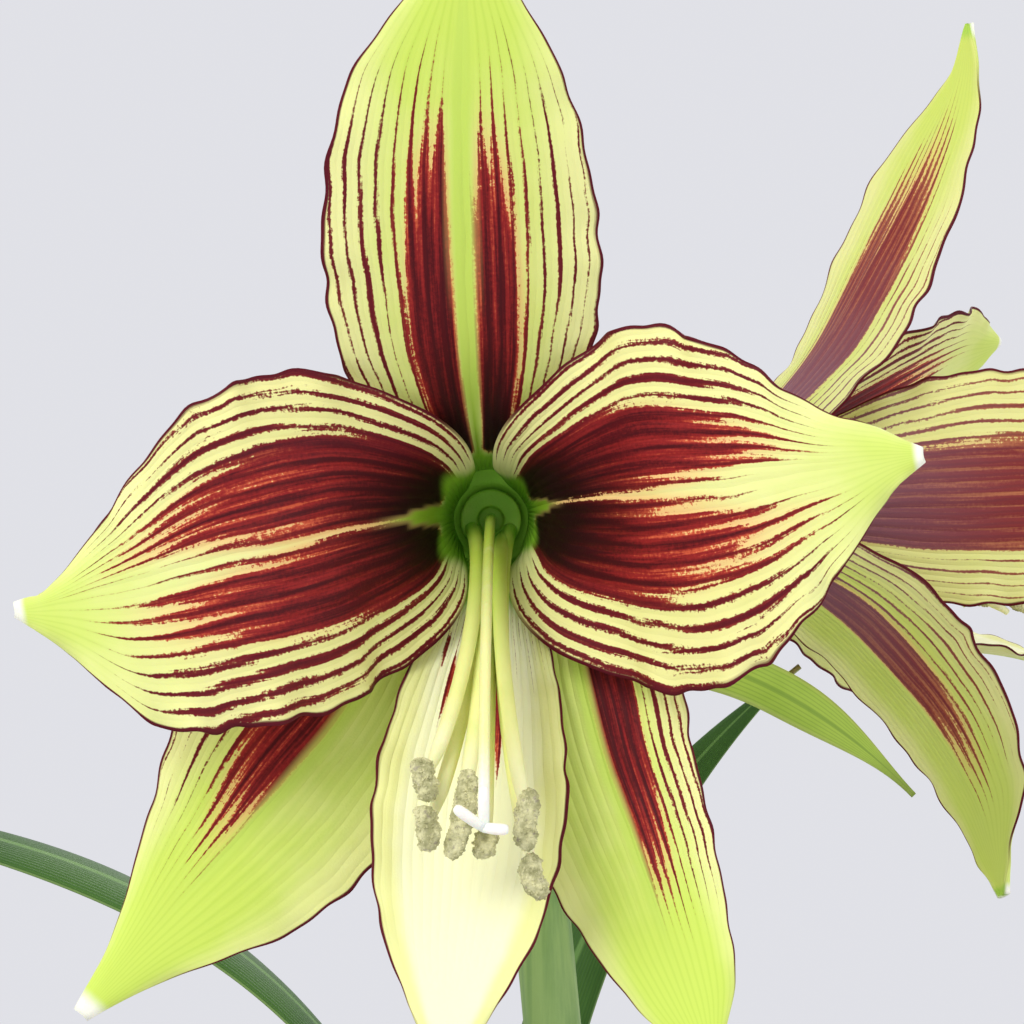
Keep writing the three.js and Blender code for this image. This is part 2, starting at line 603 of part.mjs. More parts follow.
// Tepal: its middle surface in the flower's frame, s from throat to tip and t across
function tepalMiddle(tepal) {
  const midrib = (s) => {
    const [foot, bend, tip] = tepal.angle.map(THREE.MathUtils.degToRad);
    const angle = foot + (bend - foot) * ease(0.1, 0.6, s) + (tip - bend) * ease(0.4, 1, s);
    const reach = along(tepal.reach, s);
    const point = new THREE.Vector3(reach * Math.cos(angle), reach * Math.sin(angle), along(tepal.rise, s));
    return { point, angle, reach };
  };
  return (s, t) => {
    const small = 0.001;
    const { point, angle, reach } = midrib(s);
    const tangent = midrib(s + small).point.sub(midrib(s - small).point);
    tangent.normalize();
    const side = new THREE.Vector3(-Math.sin(angle), Math.cos(angle), 0);
    side.addScaledVector(tangent, -side.dot(tangent)).normalize();
    const inner = new THREE.Vector3().crossVectors(tangent, side);
    const twist = THREE.MathUtils.degToRad(tepal.twist) * ease(0.2, 1, s);
    const e = side.clone().multiplyScalar(Math.cos(twist)).addScaledVector(inner, Math.sin(twist));
    const n = inner.clone().multiplyScalar(Math.cos(twist)).addScaledVector(side, -Math.sin(twist));
    const half = along(t >= 0 ? tepal.left : tepal.right, s) * Math.abs(t);
    const bend = mix(1 / reach, tepal.cup, ease(0.12, 0.45, s)) + 1e-5;
    const edge = Math.sign(t);
    const longWave = Math.sin(2 * Math.PI * (RUFFLE.longWaves * s + 0.37 * edge));
    const shortWave = Math.sin(2 * Math.PI * RUFFLE.shortWaves * s + 12 * edge);
    const waves = longWave + 0.5 * shortWave;
    const ruffle = tepal.ruffle * ease(0.25, 0.5, s) * (1 - ease(0.9, 1, s)) * Math.abs(t) ** 5;
    const lift = (1 - Math.cos(bend * half)) / bend + ruffle * waves
      - tepal.roll * ease(0.2, 0.6, s) * Math.abs(t) ** 3;
    point.addScaledVector(e, (edge * Math.sin(bend * half)) / bend);
    return point.addScaledVector(n, lift);
  };
}

function tepalGeometry(tepal) {
  const thickness = (s, t) => {
    const blade = mix(TEPAL.thickness, TEPAL.rimThickness, t * t);
    return mix(blade, TEPAL.tipThickness, ease(0.9, 1, s));
  };
  return sheet(steps(TEPAL.steps), ACROSS, tepalMiddle(tepal), thickness);
}

// Filaments: six rods from a ring at the bottom of the throat, three files of two close together
function filamentsGeometry(anthers, fan) {
  const { ringInner, ringOuter, ringFrom, ringTo } = FILAMENT;
  const ring = turned([
    [ringInner, ringFrom],
    [ringOuter, ringFrom],
    [ringOuter, ringTo],
    [ringInner, ringTo],
    [ringInner, ringFrom],
  ], 12);
  let body = solid(ring);
  const rootCircle = (ringInner + ringOuter) / 2;
  anthers.forEach((anther, i) => {
    const share = i / (anthers.length - 1);
    const turn = THREE.MathUtils.degToRad(mix(FILAMENT.firstTurn, FILAMENT.lastTurn, share));
    const back = antherAxes(anther)[2];
    const end = vector(anther.at).addScaledVector(back, ANTHER.halfDepth + GAP + FILAMENT.radius);
    const file = FILAMENT.fileStep * (Math.floor((i * FILAMENT.files) / anthers.length) - 1);
    const layer = FILAMENT.layerStep * (i % 2 === 0 ? 1 : -1);
    const curve = bezier([
      [rootCircle * Math.cos(turn), rootCircle * Math.sin(turn), ringFrom + 0.5],
      [file, 0.1 * end.y + layer, 0.16 * end.z + 0.75 * layer],
      [file + fan * end.x, 0.56 * end.y + layer, 0.74 * end.z + 0.75 * layer],
      end.toArray(),
    ]);
    body = body.add(solid(rod(curve, () => FILAMENT.radius, FILAMENT.sides, FILAMENT.steps)));
  });
  return geometryOf(body);
}

// The anther's directions across, along and towards its filament
function antherAxes(anther) {
  const lengthwise = vector(anther.along).normalize();
  const across = new THREE.Vector3(1, 0, 0).addScaledVector(lengthwise, -lengthwise.x).normalize();
  return [across, lengthwise, new THREE.Vector3().crossVectors(across, lengthwise)];
}

// Anther: a plump bar of pollen held at its middle
function antherGeometry(anther) {
  const geometry = new THREE.SphereGeometry(1, 8, 5);
  geometry.deleteAttribute('normal');
  geometry.deleteAttribute('uv');
  const closed = withoutSlivers(mergeVertices(geometry, 1e-4));
  closed.scale(ANTHER.halfWidth, anther.half, ANTHER.halfDepth);
  closed.applyMatrix4(new THREE.Matrix4().makeBasis(...antherAxes(anther)));
  closed.translate(...anther.at);
  return facingOut(closed);
}

// Pistil: the style and its three stigma lobes
function pistilGeometry(flower) {
  const style = bezier(flower.pistil);
  let body = solid(rod(style, () => STYLE.radius, STYLE.sides, STYLE.steps));
  const end = vector(flower.pistil[3]);
  for (const lobe of flower.lobes) {
    const tip = end.clone().add(vector(lobe));
    const bowed = end.clone().addScaledVector(vector(lobe), 0.5).add(new THREE.Vector3(0, 0, 0.8));
    const start = end.clone().add(new THREE.Vector3(0, 0, -0.6));
    const curve = new THREE.QuadraticBezierCurve3(start, bowed, tip);
    body = body.add(solid(rod(curve, (k) => STYLE.lobeRadius * (1 - 0.2 * k), STYLE.sides, 3)));
  }
  return geometryOf(body);
}

// Stalk: pedicel, ovary and the cup in which the tepals stand
function stalkGeometry(flower, place) {
  const cup = turned([
    [0, -28.5], [4.4, -27.6], [5.6, -24.6], [10.6, -24.6], [9, -28], [5.6, -31.5], [4.3, -33.5],
    [4.9, -36.5], [4.6, -40], [2.8, -42.5], [0, -42.8],
  ], 16);
  cup.applyMatrix4(place);
  const pedicel = rod(bezier(flower.stalk), (k) => 2.5 + 0.4 * k ** 4, 8, 7);
  return geometryOf(solid(cup).add(solid(pedicel)));
}

function makeFlower(flower) {
  const turn = THREE.MathUtils.degToRad(flower.facing);
  const ahead = new THREE.Vector3(Math.sin(turn), -Math.cos(turn), 0);
  const up = new THREE.Vector3(0, 0, 1);
  const right = new THREE.Vector3().crossVectors(up, ahead);
  const place = new THREE.Matrix4().makeBasis(right, up, ahead).setPosition(...flower.throat);
  const { name } = flower;
  addMesh(`${name}_stalk`, stalkGeometry(flower, place), 'stalk');
  const inner = ['left', 'right', 'bottom'];
  for (const [part, tepal] of Object.entries(flower.tepals)) {
    const whorl = inner.includes(part) ? 'petal' : 'sepal';
    addMesh(`${name}_${whorl}_${part}`, tepalGeometry(tepal).applyMatrix4(place), whorl);
  }
  const filaments = filamentsGeometry(flower.anthers, flower.fan);
  addMesh(`${name}_filaments`, filaments.applyMatrix4(place), 'filament');
  flower.anthers.forEach((anther, i) => {
    addMesh(`${name}_anther_${i + 1}`, antherGeometry(anther).applyMatrix4(place), 'pollen');
  });
  addMesh(`${name}_pistil`, pistilGeometry(flower).applyMatrix4(place), 'stigma');
}

makePot();
makeSoil();
makeBulb();
addMesh('scape', scapeGeometry(), 'scape');
LEAVES.forEach((leaf, i) => addMesh(`leaf_${i + 1}`, leafGeometry(leaf), 'leaf'));
VALVES.forEach((valve, i) => makeValve(`spathe_valve_${i + 1}`, valve));
FLOWERS.forEach(makeFlower);

export default group;
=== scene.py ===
# Potted papilio amaryllis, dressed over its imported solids.
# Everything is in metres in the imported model's own frame, with +Z up and the pot's underside at zero.

import math

import bpy
import numpy as np
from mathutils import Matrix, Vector


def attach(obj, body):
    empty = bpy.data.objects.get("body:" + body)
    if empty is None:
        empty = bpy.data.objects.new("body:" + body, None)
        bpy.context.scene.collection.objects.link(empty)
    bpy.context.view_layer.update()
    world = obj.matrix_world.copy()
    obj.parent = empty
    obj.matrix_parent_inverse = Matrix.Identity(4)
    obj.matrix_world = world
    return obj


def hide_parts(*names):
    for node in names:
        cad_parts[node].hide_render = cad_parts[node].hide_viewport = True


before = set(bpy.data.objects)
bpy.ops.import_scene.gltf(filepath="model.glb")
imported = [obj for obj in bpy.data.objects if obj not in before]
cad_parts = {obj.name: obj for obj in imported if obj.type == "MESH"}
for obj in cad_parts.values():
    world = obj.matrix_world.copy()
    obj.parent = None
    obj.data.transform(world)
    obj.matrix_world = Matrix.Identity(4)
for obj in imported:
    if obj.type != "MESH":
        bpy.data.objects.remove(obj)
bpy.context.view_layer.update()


# Camera
# It stands level in front of the first flower, close enough that the tepals' tips reach the frame's
# edges, and the pot lies below the picture.

MM = 0.001
VIEWPOINT = Vector((-12, -478, 432))
PICTURE_WIDTH, FOCAL_LENGTH = 1024, 2580  # in the picture's pixels
SENSOR_WIDTH = 36

lens_data = bpy.data.cameras.new("camera")
lens_data.sensor_width = SENSOR_WIDTH
lens_data.lens = SENSOR_WIDTH * FOCAL_LENGTH / PICTURE_WIDTH
lens_data.clip_start = 0.01
lens_data.clip_end = 50
camera = bpy.data.objects.new("camera", lens_data)
camera.location = VIEWPOINT * MM
camera.rotation_euler = (math.radians(90), 0, 0)
bpy.context.collection.objects.link(camera)
bpy.context.scene.camera = camera


# Light and floor
# A pale room without corners: an even lavender-grey sky, one wide window light from the upper left
# and a weaker one from the right, over a plain pale disc.

bpy.context.scene.view_settings.view_transform = "Standard"
bpy.context.scene.view_settings.look = "None"

room = bpy.data.worlds.new("pale_room")
room.use_nodes = True
bpy.context.scene.world = room
sky = room.node_tree.nodes["Background"]
sky.inputs["Color"].default_value = (0.765, 0.77, 0.815, 1)
sky.inputs["Strength"].default_value = 0.98


def window_light(name, place, aim, size, power, colour):
    data = bpy.data.lights.new(name, "AREA")
    data.shape = "DISK"
    data.size = size
    data.energy = power
    data.color = colour
    lamp = bpy.data.objects.new(name, data)
    lamp.location = place
    lamp.rotation_euler = (Vector(aim) - Vector(place)).to_track_quat("-Z", "Y").to_euler()
    bpy.context.collection.objects.link(lamp)


window_light("window_left", (-0.75, -0.95, 1.15), (0, 0, 0.42), 0.8, 11, (1.0, 0.99, 0.97))
window_light("window_right", (1.1, -0.5, 0.75), (0, 0, 0.40), 0.7, 3.5, (0.97, 0.98, 1.0))
window_light("window_back", (0.3, 1.0, 1.1), (0, 0, 0.40), 0.8, 5, (1.0, 1.0, 0.98))


def feed(node, inputs):
    """Feeds a node's inputs with sockets or plain values."""
    for key, value in dict(inputs).items():
        if isinstance(value, bpy.types.NodeSocket):
            node.id_data.links.new(value, node.inputs[key])
        else:
            node.inputs[key].default_value = value
    return node


def wire(tree, kind, inputs=(), **settings):
    """Adds a node, sets its properties and feeds it."""
    made = tree.nodes.new(kind)
    for key, value in settings.items():
        setattr(made, key, value)
    return feed(made, inputs)


def new_material(name):
    """A material with nothing in it but its surface shader, which is returned with its tree."""
    material = bpy.data.materials.new(name)
    material.use_nodes = True
    tree = material.node_tree
    return material, tree, tree.nodes["Principled BSDF"]


def colour(red, green, blue):
    """A paint given on a 0 to 255 scale, as the renderer's linear colour."""
    shares = [value / 255 for value in (red, green, blue)]
    return tuple(v / 12.92 if v < 0.04045 else ((v + 0.055) / 1.055) ** 2.4 for v in shares) + (1,)


def tree_of(*values):
    """The node tree of whichever value is a socket."""
    return next(value.id_data for value in values if isinstance(value, bpy.types.NodeSocket))


def calc(operation, a, b=0.0, c=0.0):
    return wire(tree_of(a, b, c), "ShaderNodeMath", {0: a, 1: b, 2: c}, operation=operation).outputs[0]


def between(value, low, high, start=0.0, end=1.0):
    """start below low, end above high, and a soft step in between."""
    return wire(
        tree_of(value), "ShaderNodeMapRange",
        {"Value": value, "From Min": low, "From Max": high, "To Min": start, "To Max": end},
        interpolation_type="SMOOTHSTEP",
    ).outputs["Result"]


def layered(amount, under, over):
    """The colour over laid on the colour under by amount."""
    mixed = wire(
        tree_of(amount, under, over), "ShaderNodeMix", {0: amount, 6: under, 7: over}, data_type="RGBA",
    )
    return mixed.outputs[2]


def own_place(tree):
    return wire(tree, "ShaderNodeTexCoord").outputs["Object"]


def stretched(vector, scale):
    return wire(tree_of(vector), "ShaderNodeMapping", {"Vector": vector, "Scale": scale}).outputs[0]


def clouds(vector, scale, detail=3.0, roughness=0.5):
    return wire(
        tree_of(vector), "ShaderNodeTexNoise",
        {"Vector": vector, "Scale": scale, "Detail": detail, "Roughness": roughness},
    ).outputs["Fac"]


def relief(height, distance):
    raised = wire(tree_of(height), "ShaderNodeBump", {"Height": height, "Distance": distance})
    return raised.outputs["Normal"]


FLOOR_RADIUS = 1.3
bpy.ops.mesh.primitive_circle_add(
    vertices=128, radius=FLOOR_RADIUS, fill_type="NGON", location=(0, 0, -0.5 * MM),
)
floor = bpy.context.object
floor.name = "floor"
pale, tree, surface = new_material("pale_floor")
mottle = between(clouds(own_place(tree), 40.0, 4.0), 0.3, 0.7)
feed(surface, {
    "Base Color": layered(mottle, colour(212, 212, 215), colour(218, 218, 221)),
    "Roughness": 0.7,
})
floor.data.materials.append(pale)


# Pot
# A thrown terracotta pot with a rim band, unglazed. The clay keeps faint turning lines, pores and
# a pale salt bloom near its foot, and three holes in the floor let water out.

POT_HEIGHT = 132
POT_BASE, POT_TOP, POT_RIM = 52, 69, 73
POT_RIM_HEIGHT = 21
POT_WALL, POT_FLOOR = 5, 7
DRAIN_COUNT, DRAIN_RADIUS, DRAIN_CIRCLE = 3, 5, 27


def pot_inside(z):
    return POT_BASE - POT_WALL + (POT_TOP - POT_BASE) / POT_HEIGHT * z


def facing_out(points, faces):
    """A closed body's faces, turned over if they point inwards and its volume comes out negative."""
    points = np.asarray(points)
    volume = 0.0
    for size in {len(face) for face in faces}:
        corners = points[np.array([face for face in faces if len(face) == size])]
        for k in range(1, size - 1):
            volume += np.einsum("ij,ij->", corners[:, 0], np.cross(corners[:, k], corners[:, k + 1]))
    return faces if volume > 0 else [face[::-1] for face in faces]


def make_piece(name, points, faces, *materials):
    """A mesh object at the origin from the points in millimetres of one closed body."""
    mesh = bpy.data.meshes.new(name)
    mesh.from_pydata((np.asarray(points) * MM).tolist(), [], facing_out(points, faces))
    mesh.polygons.foreach_set("use_smooth", np.ones(len(mesh.polygons), bool))
    for material in materials:
        mesh.materials.append(material)
    piece = bpy.data.objects.new(name, mesh)
    bpy.context.collection.objects.link(piece)
    return piece


def ring_faces(rows, sides):
    """Quads between rows of closed rings, each ring sides points long."""
    i = np.repeat(np.arange(rows - 1), sides)
    j = np.tile(np.arange(sides), rows - 1)
    k = (j + 1) % sides
    quads = np.stack([i * sides + j, i * sides + k, (i + 1) * sides + k, (i + 1) * sides + j], 1)
    return quads.tolist()


def circle(sides):
    return np.linspace(0, 2 * np.pi, sides, endpoint=False)


def capped(rings, ends=None):
    """Points and faces of a closed tube through rings of points, with a middle point on each end."""
    rows, sides = rings.shape[:2]
    count = rows * sides
    if ends is None:
        ends = [rings[0].mean(0), rings[-1].mean(0)]
    faces = ring_faces(rows, sides)
    for j in range(sides):
        k = (j + 1) % sides
        faces.append([count, k, j])
        faces.append([count + 1, (rows - 1) * sides + j, (rows - 1) * sides + k])
    return np.concatenate([rings.reshape(-1, 3), ends]), faces


def turned_body(profile, sides, wobble=0.0):
    """Points and faces of a closed body turned about Z; the profile runs from the axis to the axis."""
    profile = np.asarray(profile, float)
    turn = circle(sides)
    radius, height = profile[1:-1, 0][:, None], profile[1:-1, 1][:, None]
    radius = radius + wobble * np.sin(3 * turn + height / 9) * np.sin(height / 3.1)
    rings = np.stack([radius * np.cos(turn), radius * np.sin(turn), height + 0 * radius], -1)
    return capped(rings, [[0, 0, profile[0, 1]], [0, 0, profile[-1, 1]]])


def rounded(corners, radius, steps=4):
    """A profile with each inner corner rounded off by short arcs."""
    corners = [np.array(c, float) for c in corners]
    path = [corners[0]]
    for before, here, after in zip(corners, corners[1:-1], corners[2:]):
        a, b = before - here, after - here
        cut = min(radius, 0.45 * np.linalg.norm(a), 0.45 * np.linalg.norm(b))
        start, end = here + a / np.linalg.norm(a) * cut, here + b / np.linalg.norm(b) * cut
        for k in np.linspace(0, 1, steps + 1):
            path.append((1 - k) ** 2 * start + 2 * k * (1 - k) * here + k * k * end)
    path.append(corners[-1])
    return path


def flattened(piece):
    """Turns what a piece's modifiers make into its plain mesh."""
    bpy.context.view_layer.update()
    mesh = bpy.data.meshes.new_from_object(piece.evaluated_get(bpy.context.evaluated_depsgraph_get()))
    piece.modifiers.clear()
    piece.data = mesh


def cut_away(piece, tool):
    """Takes a tool's shape out of a piece, and deletes the tool."""
    cut = piece.modifiers.new("cut", "BOOLEAN")
    cut.operation = "DIFFERENCE"
    cut.solver = "EXACT"
    cut.object = tool
    flattened(piece)
    bpy.data.objects.remove(tool)


def hand_over(piece, slot, *nodes):
    """Hides the solids that a piece stands for and hangs the piece on the root body; slot is not used."""
    for node in nodes:
        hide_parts(node)
    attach(piece, "root")


slope = (POT_TOP - POT_BASE) / POT_HEIGHT
band_foot = POT_HEIGHT - POT_RIM_HEIGHT
outside = [[POT_BASE, 0]] + [[POT_BASE + slope * z, z] for z in np.linspace(8, band_foot, 14)]
pot_profile = rounded(
    [[0, 0]] + outside + [
        [POT_RIM, band_foot + 2], [POT_RIM, POT_HEIGHT], [pot_inside(POT_HEIGHT), POT_HEIGHT],
        [pot_inside(60), 60], [pot_inside(POT_FLOOR), POT_FLOOR], [0, POT_FLOOR],
    ], 1.5,
)
pot = make_piece("terracotta_pot", *turned_body(pot_profile, 160, 0.08))
for angle in circle(DRAIN_COUNT):
    bpy.ops.mesh.primitive_cylinder_add(vertices=32, radius=DRAIN_RADIUS * MM, depth=4 * POT_FLOOR * MM)
    drill = bpy.context.object
    drill.location = (DRAIN_CIRCLE * MM * math.cos(angle), DRAIN_CIRCLE * MM * math.sin(angle), 0)
    cut_away(pot, drill)

terracotta, tree, surface = new_material("terracotta")
place = own_place(tree)
height = wire(tree, "ShaderNodeSeparateXYZ", {"Vector": place}).outputs["Z"]
turning = clouds(stretched(place, (6, 6, 160)), 4.0, 3.0)
body_cloud = clouds(place, 26.0, 4.0)
pitted = between(clouds(place, 900.0, 2.0), 0.62, 0.72)
bloom = between(clouds(place, 55.0, 6.0, 0.65), 0.52, 0.68, 0, 0.55)
salt = calc("MULTIPLY", bloom, between(height, 0.0, 0.10, 1.0, 0.25))
clay = layered(between(body_cloud, 0.3, 0.72), colour(176, 96, 62), colour(198, 118, 80))
clay = layered(between(turning, 0.35, 0.7, 0, 0.45), clay, colour(160, 82, 52))
clay = layered(salt, clay, colour(222, 196, 176))
clay = layered(calc("MULTIPLY", pitted, 0.5), clay, colour(112, 58, 38))
grit = calc("SUBTRACT", calc("MULTIPLY_ADD", turning, 0.6, body_cloud), pitted)
feed(surface, {
    "Base Color": clay,
    "Roughness": between(body_cloud, 0.3, 0.7, 0.78, 0.92),
    "Normal": relief(grit, 0.0003),
})
pot.data.materials.append(terracotta)
hand_over(pot, "pot", "pot")


# Soil
# Potting compost filled to below the rim: a lumpy dark crust between the pot and the bulb, strewn
# with crumbs of bark and a few white grains of perlite.

SOIL_LEVEL = 117
SOIL_LUMP = 1.6
BULB_AT_SOIL = 37.6
CRUST_ROWS, CRUST_SIDES = 34, 150

compost, tree, surface = new_material("compost")
place = own_place(tree)
damp = clouds(place, 60.0, 4.0)
grains = clouds(place, 420.0, 4.0, 0.7)
earth = layered(between(damp, 0.35, 0.7), colour(46, 32, 23), colour(78, 58, 42))
earth = layered(between(grains, 0.5, 0.66, 0, 0.6), earth, colour(112, 84, 60))
feed(surface, {
    "Base Color": earth,
    "Roughness": between(damp, 0.3, 0.7, 0.8, 0.97),
    "Normal": relief(grains, 0.0008),
})


def soil_height(x, y, share):
    lumps = np.sin(0.21 * x + 1.3) * np.cos(0.17 * y) + 0.6 * np.sin(0.37 * x - 0.29 * y)
    clods = np.sin(0.9 * x + 0.5 * y) * np.sin(0.8 * y - 0.4 * x) + 0.6 * np.sin(1.7 * x) * np.sin(1.9 * y)
    return SOIL_LEVEL + SOIL_LUMP * lumps - 3 * share ** 4 + 0.45 * clods


share = np.linspace(0, 1, CRUST_ROWS)[:, None]
turn = circle(CRUST_SIDES)[None, :]
reach = BULB_AT_SOIL + 0.5 + (pot_inside(SOIL_LEVEL - 4) - 0.6 - BULB_AT_SOIL - 0.5) * share
x, y = reach * np.cos(turn), reach * np.sin(turn)
crust_top = np.stack([x, y, soil_height(x, y, reach / 62)], -1)
crust_low = crust_top.copy()
crust_low[..., 2] = np.minimum(crust_low[..., 2] - 1.2, SOIL_LEVEL - 6)
points = np.concatenate([crust_low[:1], crust_top, crust_low[-1:]]).reshape(-1, 3)
faces = ring_faces(CRUST_ROWS + 2, CRUST_SIDES)
first = np.arange(CRUST_SIDES)
last = (CRUST_ROWS + 1) * CRUST_SIDES + first
faces += np.stack([np.roll(first, -1), first, last, np.roll(last, -1)], 1).tolist()
crust = make_piece("soil_crust", points, faces, compost)
hand_over(crust, "soil")
soil_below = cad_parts["soil"].data
soil_below.materials.clear()
soil_below.materials.append(compost)


def scatter_tree(name, crumb, material):
    """Geometry Nodes that strew one small shape over a surface, turned and sized at random."""
    group = bpy.data.node_groups.new(name, "GeometryNodeTree")
    face = group.interface
    face.new_socket("Surface", in_out="INPUT", socket_type="NodeSocketGeometry")
    for label, start in (("Density", 1e6), ("Smallest", 0.5), ("Largest", 1.5)):
        face.new_socket(label, in_out="INPUT", socket_type="NodeSocketFloat").default_value = start
    face.new_socket("Seed", in_out="INPUT", socket_type="NodeSocketInt").default_value = 1
    face.new_socket("Crumbs", in_out="OUTPUT", socket_type="NodeSocketGeometry")
    given = wire(group, "NodeGroupInput").outputs
    strewn = wire(group, "GeometryNodeDistributePointsOnFaces", {
        "Mesh": given["Surface"], "Density": given["Density"], "Seed": given["Seed"],
    })
    shape = wire(group, "GeometryNodeObjectInfo", {"Object": crumb})
    size = wire(group, "FunctionNodeRandomValue", {
        2: given["Smallest"], 3: given["Largest"], "Seed": given["Seed"],
    }, data_type="FLOAT")
    spin = wire(group, "FunctionNodeRandomValue", {
        0: (0, 0, 0), 1: (6.28, 6.28, 6.28), "Seed": given["Seed"],
    }, data_type="FLOAT_VECTOR")
    turned = wire(group, "FunctionNodeEulerToRotation", {"Euler": spin.outputs[0]}).outputs[0]
    laid = wire(group, "GeometryNodeInstanceOnPoints", {
        "Points": strewn.outputs["Points"], "Instance": shape.outputs["Geometry"],
        "Rotation": turned, "Scale": size.outputs[1],
    })
    real = wire(group, "GeometryNodeRealizeInstances", {"Geometry": laid.outputs[0]})
    painted = wire(group, "GeometryNodeSetMaterial", {"Geometry": real.outputs[0], "Material": material})
    wire(group, "NodeGroupOutput", {"Crumbs": painted.outputs[0]})
    return group


def strew(name, ground, group, values):
    """Runs a scatter tree on a surface and keeps its result as a plain mesh of its own."""
    carrier = bpy.data.objects.new(name, ground.data.copy())
    bpy.context.collection.objects.link(carrier)
    grow = carrier.modifiers.new("strewn", "NODES")
    grow.node_group = group
    for item in group.interface.items_tree:
        if item.name in values:
            grow[item.identifier] = values[item.name]
    flattened(carrier)
    return carrier


def crumb_shape(name, flatness, radius, seed):
    """A small angular stone of about the given size in millimetres."""
    bpy.ops.mesh.primitive_ico_sphere_add(subdivisions=1, radius=radius * MM)
    stone = bpy.context.object
    stone.name = name
    chance = np.random.default_rng(seed)
    for corner in stone.data.vertices:
        corner.co *= float(chance.uniform(0.65, 1.2))
        corner.co.z *= flatness
    return stone


bark = crumb_shape("bark_crumb", 0.55, 1.1, 3)
bits = strew("soil_crumbs", crust, scatter_tree("soil_scatter", bark, compost), {
    "Density": 260000.0, "Smallest": 0.35, "Largest": 1.35, "Seed": 5,
})
bpy.data.objects.remove(bark)
perlite, tree, surface = new_material("perlite")
foam = clouds(own_place(tree), 1400.0, 3.0)
feed(surface, {
    "Base Color": layered(foam, colour(214, 210, 200), colour(240, 238, 232)),
    "Roughness": 0.9,
    "Normal": relief(foam, 0.0003),
})
bead = crumb_shape("perlite_bead", 0.9, 1.0, 8)
beads = strew("soil_perlite", crust, scatter_tree("perlite_scatter", bead, perlite), {
    "Density": 9000.0, "Smallest": 0.5, "Largest": 1.3, "Seed": 9,
})
bpy.data.objects.remove(bead)
hand_over(bits, "soil")
hand_over(beads, "soil")


# Leaves
# Six strap leaves stand as channels one inside the other in the bulb's neck, then flatten as they
# arch over. They are leathery and deep green, with close parallel veins and a paler midrib.

LEAF_THICK, LEAF_EDGE = 1.5, 0.8
LEAF_ROWS, LEAF_COLUMNS = 120, 23
KEEL_HEIGHT, KEEL_SHARE = 0.45, 0.14
LEAVES = {
    "leaf_1": dict(path=[[5, 6, 156], [-13, 8, 255], [-32, 22, 342], [44, 24, 402]],
                   side=1, ring=5, foot=6.5, half=7, turn=-38),
    "leaf_2": dict(path=[[-5, 6, 156], [-8, 4, 340], [-60, -6, 372], [-158, -20, 382]],
                   side=-1, ring=5, foot=6.5, half=9, turn=14),
    "leaf_3": dict(path=[[-9, 6, 156], [-40, 2, 330], [-95, -30, 402], [-190, -60, 275]],
                   side=-1, ring=9, foot=10, half=15, turn=-6),
    "leaf_4": dict(path=[[9, 6, 156], [30, 8, 300], [95, 26, 368], [190, 60, 260]],
                   side=1, ring=9, foot=10, half=15, turn=-8),
    "leaf_5": dict(path=[[-13.2, 6, 156], [-62, 14, 275], [-120, 48, 315], [-198, 80, 228]],
                   side=-1, ring=13.2, foot=12.5, half=15.5, turn=8),
    "leaf_6": dict(path=[[13.2, 6, 156], [56, 2, 270], [112, -30, 308], [192, -72, 216]],
                   side=1, ring=13.2, foot=12.5, half=15.5, turn=8),
}


def ease(low, high, x):
    k = np.clip((np.asarray(x, float) - low) / (high - low), 0, 1)
    return k * k * (3 - 2 * k)


def mix(a, b, k):
    return a + (b - a) * k


def unit(v):
    return v / np.linalg.norm(v, axis=-1, keepdims=True)


def square_to(v, axis):
    """The part of v that is at right angles to the unit vector axis, at unit length."""
    return unit(v - (v * axis).sum(-1, keepdims=True) * axis)


def bezier(path, s):
    """Points on the curve of three or four control points."""
    points = [np.asarray(p, float) for p in path]
    s = np.asarray(s, float)[..., None]
    while len(points) > 1:
        points = [a * (1 - s) + b * s for a, b in zip(points, points[1:])]
    return points[0]


def heading_of(path, s):
    return unit(bezier(path, s + 1e-3) - bezier(path, s - 1e-3))


def arched(centre, e, n, half, t, bend):
    """A row of points across a blade, curled about its length with the curvature bend."""
    arc = half * np.abs(t) * bend
    over = (np.sign(t) * np.sin(arc) / bend)[..., None]
    up = ((1 - np.cos(arc)) / bend)[..., None]
    return centre[:, None] + e[:, None] * over + n[:, None] * up


def leaf_middle(leaf, s, t, grow=0.0):
    tangent = heading_of(leaf["path"], s)
    toward = np.array(leaf["path"][3], float) - np.array(leaf["path"][0], float)
    toward[2] = 0
    fan = np.array([leaf["side"], 0.0, 0.0])
    outward = unit(mix(fan, unit(toward), ease(0.12, 0.5, s)[:, None]))
    side = np.stack([-outward[:, 1], outward[:, 0], 0 * s], -1)
    side = square_to(side, tangent)
    upper = np.cross(side, tangent)
    turn = (math.radians(leaf["turn"]) * ease(0.15, 0.75, s))[:, None]
    e = side * np.cos(turn) + upper * np.sin(turn)
    n = upper * np.cos(turn) - side * np.sin(turn)
    tip = np.sqrt(np.maximum(1 - ease(0.62, 1, s) ** 1.6, 0))
    half = mix(leaf["foot"], leaf["half"], ease(0, 0.4, s)) * np.maximum(tip, 0.07) + grow
    bend = mix(1 / leaf["ring"], 1 / 34, ease(0.02, 0.4, s))
    return arched(bezier(leaf["path"], s), e, n, half[:, None], t[None, :], bend[:, None])


def shell_points(middle, s, t, thickness, upper_lift=0.0, under_lift=0.0):
    """Both faces of a thin blade whose middle surface is middle(s, t), the normal side first."""
    small = 0.002
    lengthwise = middle(s + small, t) - middle(s - small, t)
    low, high = np.maximum(t - small, -1), np.minimum(t + small, 1)
    normal = unit(np.cross(lengthwise, middle(s, high) - middle(s, low)))
    centre = middle(s, t)
    over = centre + normal * (thickness / 2 + upper_lift)[..., None]
    under = centre - normal * (thickness / 2 + under_lift)[..., None]
    return over, under


